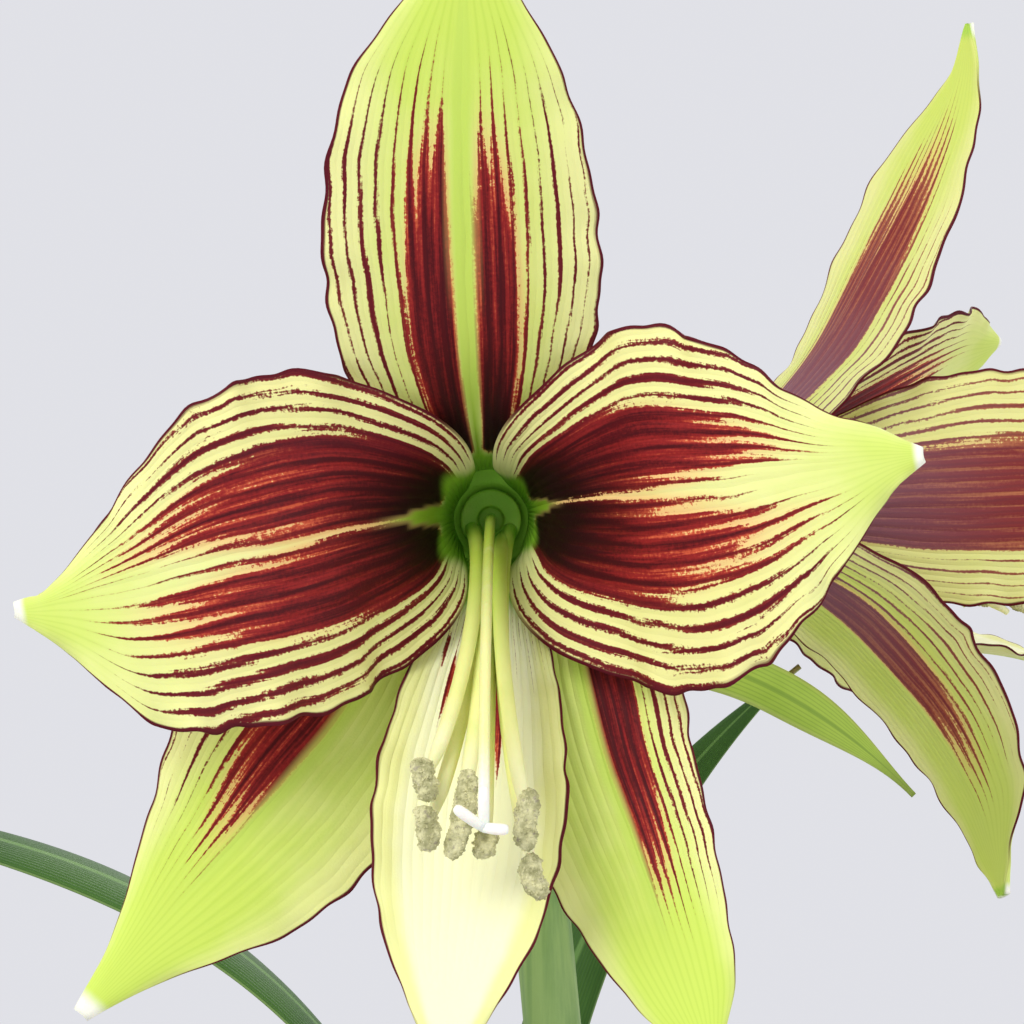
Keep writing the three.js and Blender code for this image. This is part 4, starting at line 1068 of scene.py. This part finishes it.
OUTER_FACES = {
    "top": dict(lime=0.55, lines=((0.26, 0.9), (0.16, 0.8)),
                flush=((-1, 0.5, 0.55, 1.0, 1.3), (-1, 0.42, 0.55, 0.95, 1.2))),
    "left": dict(lime=0.2, lines=((0.2, 0.95), (0.36, 0.95)),
                 flush=((-1, 0.48, 0.75, 1.2, 1.4), (-1, 0.45, 0.75, 1.2, 1.4))),
    "right": dict(lime=0.2, lines=((0.3, 0.95), (0.36, 0.95)),
                  flush=((-1, 0.48, 0.5, 1.0, 1.4), (-1, 0.45, 0.5, 1.0, 1.4))),
    "bottom": dict(lime=0.3, lines=((0.12, 0.6), (0.12, 0.6))),
    "lower_left": dict(lime=0.75, lines=((0.0, 0.3), (0.3, 0.95)),
                       flush=(NO_FLUSH, (-1, 0.42, 0.5, 0.92, 1.3))),
    "lower_right": dict(lime=0.75, lines=((0.3, 0.95), (0.0, 0.3)),
                        flush=((-1, 0.42, 0.5, 0.92, 1.3), NO_FLUSH)),
}


def along(values, x):
    """A smooth curve through a tepal's values at STATIONS, read at x."""
    values = np.asarray(values, float)
    slope = np.empty(len(STATIONS))
    slope[1:-1] = (values[2:] - values[:-2]) / (STATIONS[2:] - STATIONS[:-2])
    slope[0] = (values[1] - values[0]) / (STATIONS[1] - STATIONS[0])
    slope[-1] = (values[-1] - values[-2]) / (STATIONS[-1] - STATIONS[-2])
    i = np.clip(np.searchsorted(STATIONS, x, side="right") - 1, 0, len(STATIONS) - 2)
    step = STATIONS[i + 1] - STATIONS[i]
    k = (x - STATIONS[i]) / step
    rise = 3 * k ** 2 - 2 * k ** 3
    start = (k ** 3 - 2 * k ** 2 + k) * step * slope[i]
    end = (k ** 3 - k ** 2) * step * slope[i + 1]
    return values[i] * (1 - rise) + values[i + 1] * rise + start + end


def tepal_midrib(tepal, s):
    foot, bend, tip = np.radians(tepal["angle"])
    angle = foot + (bend - foot) * ease(0.1, 0.6, s) + (tip - bend) * ease(0.4, 1, s)
    reach = along(tepal["reach"], s)
    midrib = np.stack([reach * np.cos(angle), reach * np.sin(angle), along(tepal["rise"], s)], -1)
    return midrib, angle, reach


def tepal_middle(tepal, s, t):
    centre, angle, reach = tepal_midrib(tepal, s)
    tangent = unit(tepal_midrib(tepal, s + 0.001)[0] - tepal_midrib(tepal, s - 0.001)[0])
    side = square_to(np.stack([-np.sin(angle), np.cos(angle), 0 * s], -1), tangent)
    inner = np.cross(tangent, side)
    twist = (math.radians(tepal["twist"]) * ease(0.2, 1, s))[:, None]
    e = (side * np.cos(twist) + inner * np.sin(twist))[:, None]
    n = (inner * np.cos(twist) - side * np.sin(twist))[:, None]
    size, edge = np.abs(t)[None, :], np.sign(t)[None, :]
    s = s[:, None]
    half = np.where(t[None, :] >= 0, along(tepal["left"], s), along(tepal["right"], s)) * size
    nick = np.sin(2 * np.pi * (11.3 * s + 0.2 * edge)) + 0.7 * np.sin(2 * np.pi * (18.1 * s + 0.4 * edge))
    half = half * (1 + 0.011 * nick * size ** 6 * ease(0.3, 0.55, s) * (1 - ease(0.88, 0.98, s)))
    bend = mix(1 / reach[:, None], tepal["cup"], ease(0.12, 0.45, s)) + 1e-5
    waves = np.sin(2 * np.pi * (8 * s + 0.37 * edge)) + 0.5 * np.sin(27.7 * np.pi * s + 12 * edge)
    ruffle = tepal["ruffle"] * ease(0.25, 0.5, s) * (1 - ease(0.9, 1, s)) * size ** 5
    roll = tepal["roll"] * ease(0.2, 0.6, s) * size ** 3
    over = edge * np.sin(bend * half) / bend
    lift = (1 - np.cos(bend * half)) / bend + ruffle * waves - roll
    return centre[:, None] + e * over[..., None] + n * lift[..., None]


def tepal_marks(marking, s, t):
    """How strongly each place on a tepal is flushed, darkened by painted shade near the throat, green or
    tinged, from its table row.
    """
    marking = {**UNMARKED, **marking}
    s, size, across = s[:, None], np.abs(t)[None, :], t[None, :]
    left = across >= 0
    near, far, whole, gone, strength = (np.where(left, a, b) for a, b in zip(*marking["flush"]))
    foot, rib_end = marking["throat"], marking["rib_end"]
    beside = ease(near - 0.05, near + 0.04, size) * (1 - ease(far - 0.15, far + 0.12, size))
    start = ease(foot, foot + 0.06, s + 0.04 * size)
    flush = strength * beside * start * (1 - ease(whole, gone, s + 0.14 * size ** 2))
    strip, end = (np.where(left, a, b) for a, b in zip(*marking["lines"]))
    strip = strip * ease(0.12, 0.26, s) * (1 - ease(end - 0.3, end, s + 0.06 * size))
    flush = np.maximum(flush, strip * ease(0.08, 0.25, size))
    if "split" in marking:
        share, first, last, weaker = marking["split"]
        open_along = ease(first, first + 0.1, s) * (1 - ease(last - 0.2, last, s))
        flush = flush - weaker * (1 - ease(0.3 * share, share, size)) * open_along
    for middle, half, first, last in marking["stripes"]:
        stripe = 1 - ease(0.6 * half, 1.3 * half, np.abs(across - middle))
        stripe = stripe * ease(first, first + 0.08, s) * (1 - ease(last - 0.14, last, s))
        flush = np.maximum(flush, 1.25 * stripe)
    # Painted shade: the maroon flush is darkened to near black towards the foot, where the tepals go down
    # into the throat.
    flush_shade = start * beside * (1 - ease(0.24, 0.66, s + 0.25 * size)) * np.minimum(strength, 1)
    half_rib = mix(*marking["rib"], ease(0.25, 0.65, s))
    half_rib = half_rib * (1 - ease(marking.get("point", 0.9 * rib_end), rib_end, s))
    tongue = 1 - ease(0.7, 1.25, size / (half_rib + 0.004))
    tongue = tongue * (1 - ease(rib_end - 0.12, rib_end, s))
    throat = 1 - ease(foot, foot + 0.07, s + 0.03 * np.sin(9 * size))
    lime = marking["lime"] * (1 - ease(0.45, 1.0, size)) + marking["tip"] * ease(0.66, 0.97, s)
    return dict(flush=flush, flush_shade=flush_shade, tongue=tongue, throat=throat, lime=lime)


tepal_paint, tree, surface = new_material("tepal_paint")
veins = use_group(tree, blade_veins, {"Count": 10.0, "Wander": 1.1, "Width": 0.3, "Drift": 0.16})
skin = use_group(tree, plant_skin, {"Tone size": 120.0, "Cell size": 3000.0})
mark = {label: value_at(tree, label) for label in ("flush", "flush_shade", "tongue", "throat", "lime", "inner")}
speck = clouds(own_place(tree), 1700.0, 3.0, 0.7)
size = calc("ABSOLUTE", veins["Across"])

gap = between(mark["flush"], 0.45, 1.1, 0.95, 0.6)
level = calc("SUBTRACT", mark["flush"], calc("MULTIPLY_ADD", veins["Away"], gap, 0.1))
rough = calc("MULTIPLY_ADD", veins["Streak"], 2.0, calc("MULTIPLY_ADD", speck, 1.3, -1.65))
rough = calc("MULTIPLY_ADD", veins["Patch"], 1.5, calc("SUBTRACT", rough, 0.75))
rough = calc("MULTIPLY", rough, calc("MINIMUM", calc("MULTIPLY", mark["flush"], 1.6), 1.0))
level = calc("ADD", level, rough)
pigment = between(level, -0.06, 0.09)
pigment = calc("MULTIPLY", pigment, calc("SUBTRACT", 1.0, mark["tongue"]))

lime = calc("ADD", mark["lime"], calc("MULTIPLY_ADD", skin["Tone"], 0.4, -0.2))
ground = layered(between(lime, 0.0, 0.95), colour(235, 236, 160), colour(204, 226, 98))
ground = layered(between(lime, -0.5, -0.1, 1.0, 0.0), ground, colour(246, 246, 202))
faint = calc("MULTIPLY", between(veins["Away"], 0.0, 0.6, 0.2, 0.0), between(lime, 0.1, 0.9))
ground = layered(faint, ground, colour(160, 196, 56))
warm = between(mark["flush"], 0.15, 0.8, 0.0, 0.75)
warm = calc("MULTIPLY", warm, between(size, 0.3, 0.6, 1.0, 0.25))
ground = layered(warm, ground, colour(238, 176, 116))
rib = layered(between(veins["Along"], 0.22, 0.5), colour(142, 184, 46), colour(198, 222, 98))
ground = layered(mark["tongue"], ground, rib)

depth = calc("MULTIPLY_ADD", level, 0.6, calc("MULTIPLY", veins["Ridge"], 0.15))
depth = calc("ADD", depth, calc("MULTIPLY_ADD", veins["Streak"], 1.1, -0.5))
crimson = layered(between(depth, 0.05, 0.4), colour(204, 88, 58), colour(146, 34, 34))
crimson = layered(between(depth, 0.35, 1.0), crimson, colour(84, 12, 20))
crimson = layered(calc("MULTIPLY", veins["Line"], 0.4), crimson, colour(58, 10, 18))
crimson = layered(between(size, 0.42, 0.62, 0.0, 0.6), crimson, colour(86, 16, 30))
# Painted shade: near black laid over the flush towards the throat.
crimson = layered(between(mark["flush_shade"], 0.1, 0.9), crimson, colour(34, 6, 10))
# Painted sheen: a grey-mauve highlight laid over the outer faces' brick flush towards the foot.
painted_sheen = between(veins["Along"], 0.3, 0.7, 0.6, 0.0)
brick = layered(between(depth, 0.1, 0.8), colour(176, 104, 66), colour(128, 44, 42))
brick = layered(calc("MULTIPLY", veins["Line"], 0.4), brick, colour(104, 40, 44))
brick = layered(painted_sheen, brick, colour(122, 96, 112))
crimson = layered(mark["inner"], brick, crimson)
outside = layered(0.3, ground, colour(196, 190, 110))
paint = layered(pigment, layered(mark["inner"], outside, ground), crimson)
paint = layered(mark["throat"], paint, colour(150, 204, 56))
# Painted shade: the tepals' green feet are painted darker deep down in the throat.
deep = between(veins["Along"], 0.02, 0.13, 0.6, 0.0)
paint = layered(deep, paint, colour(118, 176, 46))

ragged = calc("ADD", size, calc("MULTIPLY_ADD", veins["Streak"], 0.04, -0.02))
margin = between(ragged, 0.964, 0.982)
margin = calc("MULTIPLY", margin, between(veins["Along"], 0.88, 0.96, 1.0, 0.0))
margin = calc("MULTIPLY", margin, between(veins["Along"], 0.2, 0.3))
paint = layered(margin, paint, colour(88, 14, 28))
callus = between(veins["Along"], 0.974, 0.99)
horn = layered(mark["inner"], colour(168, 204, 78), colour(244, 244, 226))
paint = layered(callus, paint, horn)

bumps = calc("MULTIPLY_ADD", veins["Ridge"], 0.9, calc("MULTIPLY", skin["Cells"], 0.22))
bumps = calc("MULTIPLY_ADD", veins["Streak"], 0.4, bumps)
bumps = calc("MULTIPLY", bumps, between(veins["Along"], 0.6, 0.92, 0.8, 0.0))
feed(surface, {
    "Base Color": paint,
    "Roughness": between(skin["Tone"], 0.3, 0.7, 0.5, 0.64),
    "Normal": relief(bumps, 0.00022),
    "Specular IOR Level": 0.14,
    "Subsurface Weight": 0.1,
    "Subsurface Radius": (1.0, 0.8, 0.3),
    "Subsurface Scale": 0.0012,
})

TEPAL_ROWS, TEPAL_COLUMNS = 150, 51
s = np.linspace(0, 1, TEPAL_ROWS)
spread = np.linspace(-1, 1, TEPAL_COLUMNS)
t = np.sign(spread) * (1 - (1 - np.abs(spread)) ** 1.25)
grid_t, grid_s = np.meshgrid(t, s)
thick = mix(TEPAL_THICK, TEPAL_EDGE, grid_t ** 2)
thick = mix(thick, TEPAL_TIP, ease(0.9, 1, grid_s)) * np.sqrt(np.clip(1 - grid_t ** 12, 0.2, 1))
for flower_name, flower in FLOWERS.items():
    for part, row in TEPALS[flower_name].items():
        tepal = {**STRAIGHT, **row}
        rib = np.exp(-(grid_t * along(tepal["left"], grid_s) / RIB_WIDTH) ** 2)
        rib = RIB_HEIGHT * rib * (1 - ease(0.75, 0.97, grid_s))
        over, under = shell_points(lambda a, b: tepal_middle(tepal, a, b), s, t, thick, -0.35 * rib, rib)
        outer_marks = tepal_marks(OUTER_FACES[part], s, t)
        marks = {
            label: (value, outer_marks[label])
            for label, value in tepal_marks(INNER_FACES[part], s, t).items()
        }
        marks["inner"] = (1.0, 0.0)
        marks["across"], marks["along"] = grid_t / 2 + 0.5, grid_s
        kind = "petal" if part in PETALS else "sepal"
        node = f"{flower_name}_{kind}_{part}"
        over, under = placed(flower, over), placed(flower, under)
        hand_over(make_blade(node + "_blade", over, under, marks, tepal_paint), kind, node)


# Filaments
# Six slender stalks rise from a ring at the bottom of the throat and lean out together over the
# lowest petal. They are smooth, green at the foot and cream towards their fine ends.

FILAMENT_RADIUS, FILAMENT_SIDES = 1.15, 14
RING_INNER, RING_OUTER, RING_FROM, RING_TO = 2.2, 5.2, -24.2, -22
FIRST_TURN, LAST_TURN = 205, 335
FANS = {"front": 0, "right": 0.55}
ANTHER_HALF_WIDTH, ANTHER_HALF_DEPTH = 1.7, 1.1
ANTHERS = {
    "front": [
        dict(at=[-9.3, -38.2, 37], half=3.3, along=[0.04, -1, 0.1]),
        dict(at=[-9, -45.3, 38], half=3.4, along=[0.04, -1, 0.1]),
        dict(at=[-3.9, -43.3, 37.5], half=6.8, along=[-0.17, -0.98, 0]),
        dict(at=[-0.4, -47.9, 34.5], half=2.6, along=[0.1, -0.75, 0.6]),
        dict(at=[5.9, -43.9, 39], half=4.6, along=[0, -1, 0.05]),
        dict(at=[6.9, -52.3, 39], half=3.5, along=[0.23, -0.97, 0]),
    ],
    "right": [
        dict(at=[-7.6, -16, 38], half=3.6, along=[0.1, -0.62, 0.78]),
        dict(at=[-4.4, -18.5, 45], half=3.8, along=[0, -0.66, 0.75]),
        dict(at=[-1.2, -18, 38.8], half=3.4, along=[0, -0.6, 0.8]),
        dict(at=[2, -19.5, 49], half=3.6, along=[0, -0.55, 0.83]),
        dict(at=[5.2, -18, 42], half=3.8, along=[-0.1, -0.62, 0.78]),
        dict(at=[8.2, -15.5, 37.5], half=3.6, along=[-0.1, -0.6, 0.8]),
    ],
}


def anther_axes(anther):
    """An anther's directions across, along and towards its filament."""
    lengthwise = unit(np.array(anther["along"], float))
    across = square_to(np.array([1.0, 0, 0]), lengthwise)
    return across, lengthwise, np.cross(across, lengthwise)


filament_cream, tree, surface = new_material("filament_cream")
skin = use_group(tree, plant_skin, {"Tone size": 160.0})
climb = value_at(tree, "climb")
sap = layered(between(climb, 0.02, 0.2), colour(140, 194, 56), colour(180, 204, 74))
sap = layered(between(climb, 0.3, 0.75), sap, colour(232, 234, 150))
sap = layered(between(climb, 0.75, 1.0), sap, colour(244, 240, 198))
sap = layered(between(skin["Tone"], 0.4, 0.7, 0.0, 0.3), sap, colour(204, 218, 110))
feed(surface, {
    "Base Color": sap,
    "Roughness": 0.5,
    "Normal": relief(skin["Cells"], 0.00006),
    "Specular IOR Level": 0.2,
    "Subsurface Weight": 0.15,
    "Subsurface Scale": 0.001,
})

ring = turned_body(rounded([
    [0, RING_FROM], [RING_OUTER, RING_FROM], [RING_OUTER, RING_TO], [RING_INNER, RING_TO],
    [RING_INNER, RING_FROM + 0.6], [0, RING_FROM + 0.6],
], 0.5), 48)
k = np.linspace(0, 1, 70)
root_circle = (RING_INNER + RING_OUTER) / 2
for flower_name, flower in FLOWERS.items():
    bodies = [ring]
    climbs = [np.zeros(len(ring[0]))]
    anthers = ANTHERS[flower_name]
    for i, anther in enumerate(anthers):
        turn = math.radians(mix(FIRST_TURN, LAST_TURN, i / (len(anthers) - 1)))
        x, y = math.cos(turn), math.sin(turn)
        end = np.array(anther["at"]) + anther_axes(anther)[2] * (ANTHER_HALF_DEPTH + 0.4 + FILAMENT_RADIUS)
        file = i // 2 - 1
        layer = 1 if i % 2 == 0 else -1
        path = [
            [root_circle * x, root_circle * y, RING_FROM + 0.5],
            [file, 0.1 * end[1] + layer, 0.16 * end[2] + 0.75 * layer],
            [file + FANS[flower_name] * end[0], 0.56 * end[1] + layer, 0.74 * end[2] + 0.75 * layer],
            end,
        ]
        radii = FILAMENT_RADIUS * (1.0 + 0.1 * (1 - k)) * mix(1.0, 0.55, ease(0.9, 1, k))
        bodies.append(capped(tube(bezier(path, k), radii, FILAMENT_SIDES, (1, 0.2, 0))))
        climbs.append(np.concatenate([np.repeat(k, FILAMENT_SIDES), [0, 1]]))
    points, faces = joined(*bodies)
    filaments = make_piece(flower_name + "_filament_rods", placed(flower, points), faces, filament_cream)
    add_values(filaments, "climb", np.concatenate(climbs))
    hand_over(filaments, "filament", flower_name + "_filaments")


# Anthers
# Each filament carries a plump split bar, held at its middle. It has burst, and the grey-green
# pollen covers it as coarse powder with brown and violet grains.

pollen, tree, surface = new_material("pollen")
place = own_place(tree)
clump = clouds(place, 520.0, 4.0, 0.65)
grain = clouds(place, 1900.0, 3.0, 0.7)
violet = between(clouds(place, 1100.0, 2.0), 0.6, 0.7, 0, 0.45)
dust = layered(between(clump, 0.34, 0.66), colour(166, 164, 116), colour(226, 222, 172))
dust = layered(between(grain, 0.56, 0.68, 0, 0.7), dust, colour(226, 220, 172))
dust = layered(violet, dust, colour(122, 104, 112))
feed(surface, {"Base Color": dust, "Roughness": 0.95, "Normal": relief(grain, 0.0003)})

ANTHER_ROWS, ANTHER_SIDES = 44, 36
GROOVE_DEPTH, GRAIN = 0.22, 0.24
grain_shape = crumb_shape("pollen_grain", 0.85, GRAIN, 4)
pollen_scatter = scatter_tree("pollen_scatter", grain_shape, pollen)
k = np.linspace(-1, 1, ANTHER_ROWS)[:, None]
turn = circle(ANTHER_SIDES)[None, :]
taper = np.sqrt(np.clip(1 - np.abs(k) ** 4, 0.01, 1))
groove = 1 - GROOVE_DEPTH * np.exp(-((turn - 1.5 * np.pi) / 0.35) ** 2)
for flower_name, flower in FLOWERS.items():
    for i, anther in enumerate(ANTHERS[flower_name]):
        lumps = 1 + 0.07 * np.sin(7 * k + 2 * turn + i) + 0.06 * np.sin(13 * k - 3 * turn + 2 * i)
        size = taper * groove * lumps
        local = np.stack([
            ANTHER_HALF_WIDTH * size * np.cos(turn) + 0.35 * np.sin(2.2 * k + i),
            anther["half"] * k + 0 * turn,
            ANTHER_HALF_DEPTH * size * np.sin(turn),
        ], -1)
        points, faces = capped(local)
        across, lengthwise, back = anther_axes(anther)
        points = np.array(anther["at"]) + points @ np.array([across, lengthwise, back])
        name = f"{flower_name}_anther_{i + 1}"
        core = make_piece(name + "_bar", placed(flower, points), faces, pollen)
        dusting = strew(name + "_pollen", core, pollen_scatter, {
            "Density": 3.2e6, "Smallest": 0.5, "Largest": 1.35, "Seed": 11 + i,
        })
        hand_over(core, "anther", name)
        hand_over(dusting, "anther", name)
bpy.data.objects.remove(grain_shape)


# Pistils
# The style is a white rod a little longer than the filaments, and its end parts into three blunt
# stigma lobes, damp and finely furred.

STYLE_RADIUS, STYLE_ROWS, STYLE_SIDES = 0.85, 90, 16
LOBE_RADIUS, LOBE_ROWS, LOBE_SIDES = 0.8, 24, 14
PISTILS = {
    "front": dict(path=[[0, 0, -26.8], [0, 2, 2], [-0.5, -14, 38], [-0.5, -44.5, 44]],
                  lobes=[[0, 6.2, 1], [-4.2, 3.2, 1.6], [3.6, 0, 2]]),
    "right": dict(path=[[0, 0, -26.8], [0, 1, 6], [-0.5, -8, 36], [-0.5, -12.5, 60]],
                  lobes=[[0, 4.6, 2.4], [-4, -2, 2], [4, -1.6, 2]]),
}

stigma_white, tree, surface = new_material("stigma_white")
skin = use_group(tree, plant_skin, {"Tone size": 300.0, "Cell size": 2400.0})
climb = value_at(tree, "climb")
pale = layered(between(climb, 0.02, 0.2), colour(140, 194, 56), colour(180, 204, 74))
pale = layered(between(climb, 0.3, 0.75), pale, colour(236, 236, 158))
pale = layered(between(climb, 0.84, 0.97), pale, colour(250, 248, 236))
pale = layered(between(skin["Tone"], 0.5, 0.75, 0.0, 0.25), pale, colour(236, 226, 200))
feed(surface, {
    "Base Color": pale,
    "Roughness": 0.38,
    "Normal": relief(skin["Cells"], 0.00012),
    "Subsurface Weight": 0.2,
    "Subsurface Scale": 0.001,
})

k = np.linspace(0, 1, LOBE_ROWS)
lobe_radii = LOBE_RADIUS * (0.95 + 0.12 * np.sin(2.6 * k))
lobe_radii = lobe_radii * np.sqrt(np.clip(1 - (k - 0.02) ** 14, 0.05, 1))
for flower_name, flower in FLOWERS.items():
    pistil = PISTILS[flower_name]
    climb = np.linspace(0, 1, STYLE_ROWS)
    bodies = [capped(tube(bezier(pistil["path"], climb), STYLE_RADIUS, STYLE_SIDES, (1, 0.2, 0)))]
    climbs = [np.concatenate([np.repeat(climb, STYLE_SIDES), [0, 1]])]
    end = np.array(pistil["path"][3], float)
    for lobe in pistil["lobes"]:
        lobe = np.array(lobe, float)
        path = [end + [0, 0, -0.6], end + 0.5 * lobe + [0, 0, 0.8], end + lobe]
        bodies.append(capped(tube(bezier(path, k), lobe_radii, LOBE_SIDES, (0.3, 0.2, 1))))
        climbs.append(np.ones(LOBE_ROWS * LOBE_SIDES + 2))
    points, faces = joined(*bodies)
    piece = make_piece(flower_name + "_pistil_white", placed(flower, points), faces, stigma_white)
    add_values(piece, "climb", np.concatenate(climbs))
    hand_over(piece, "pistil", flower_name + "_pistil")
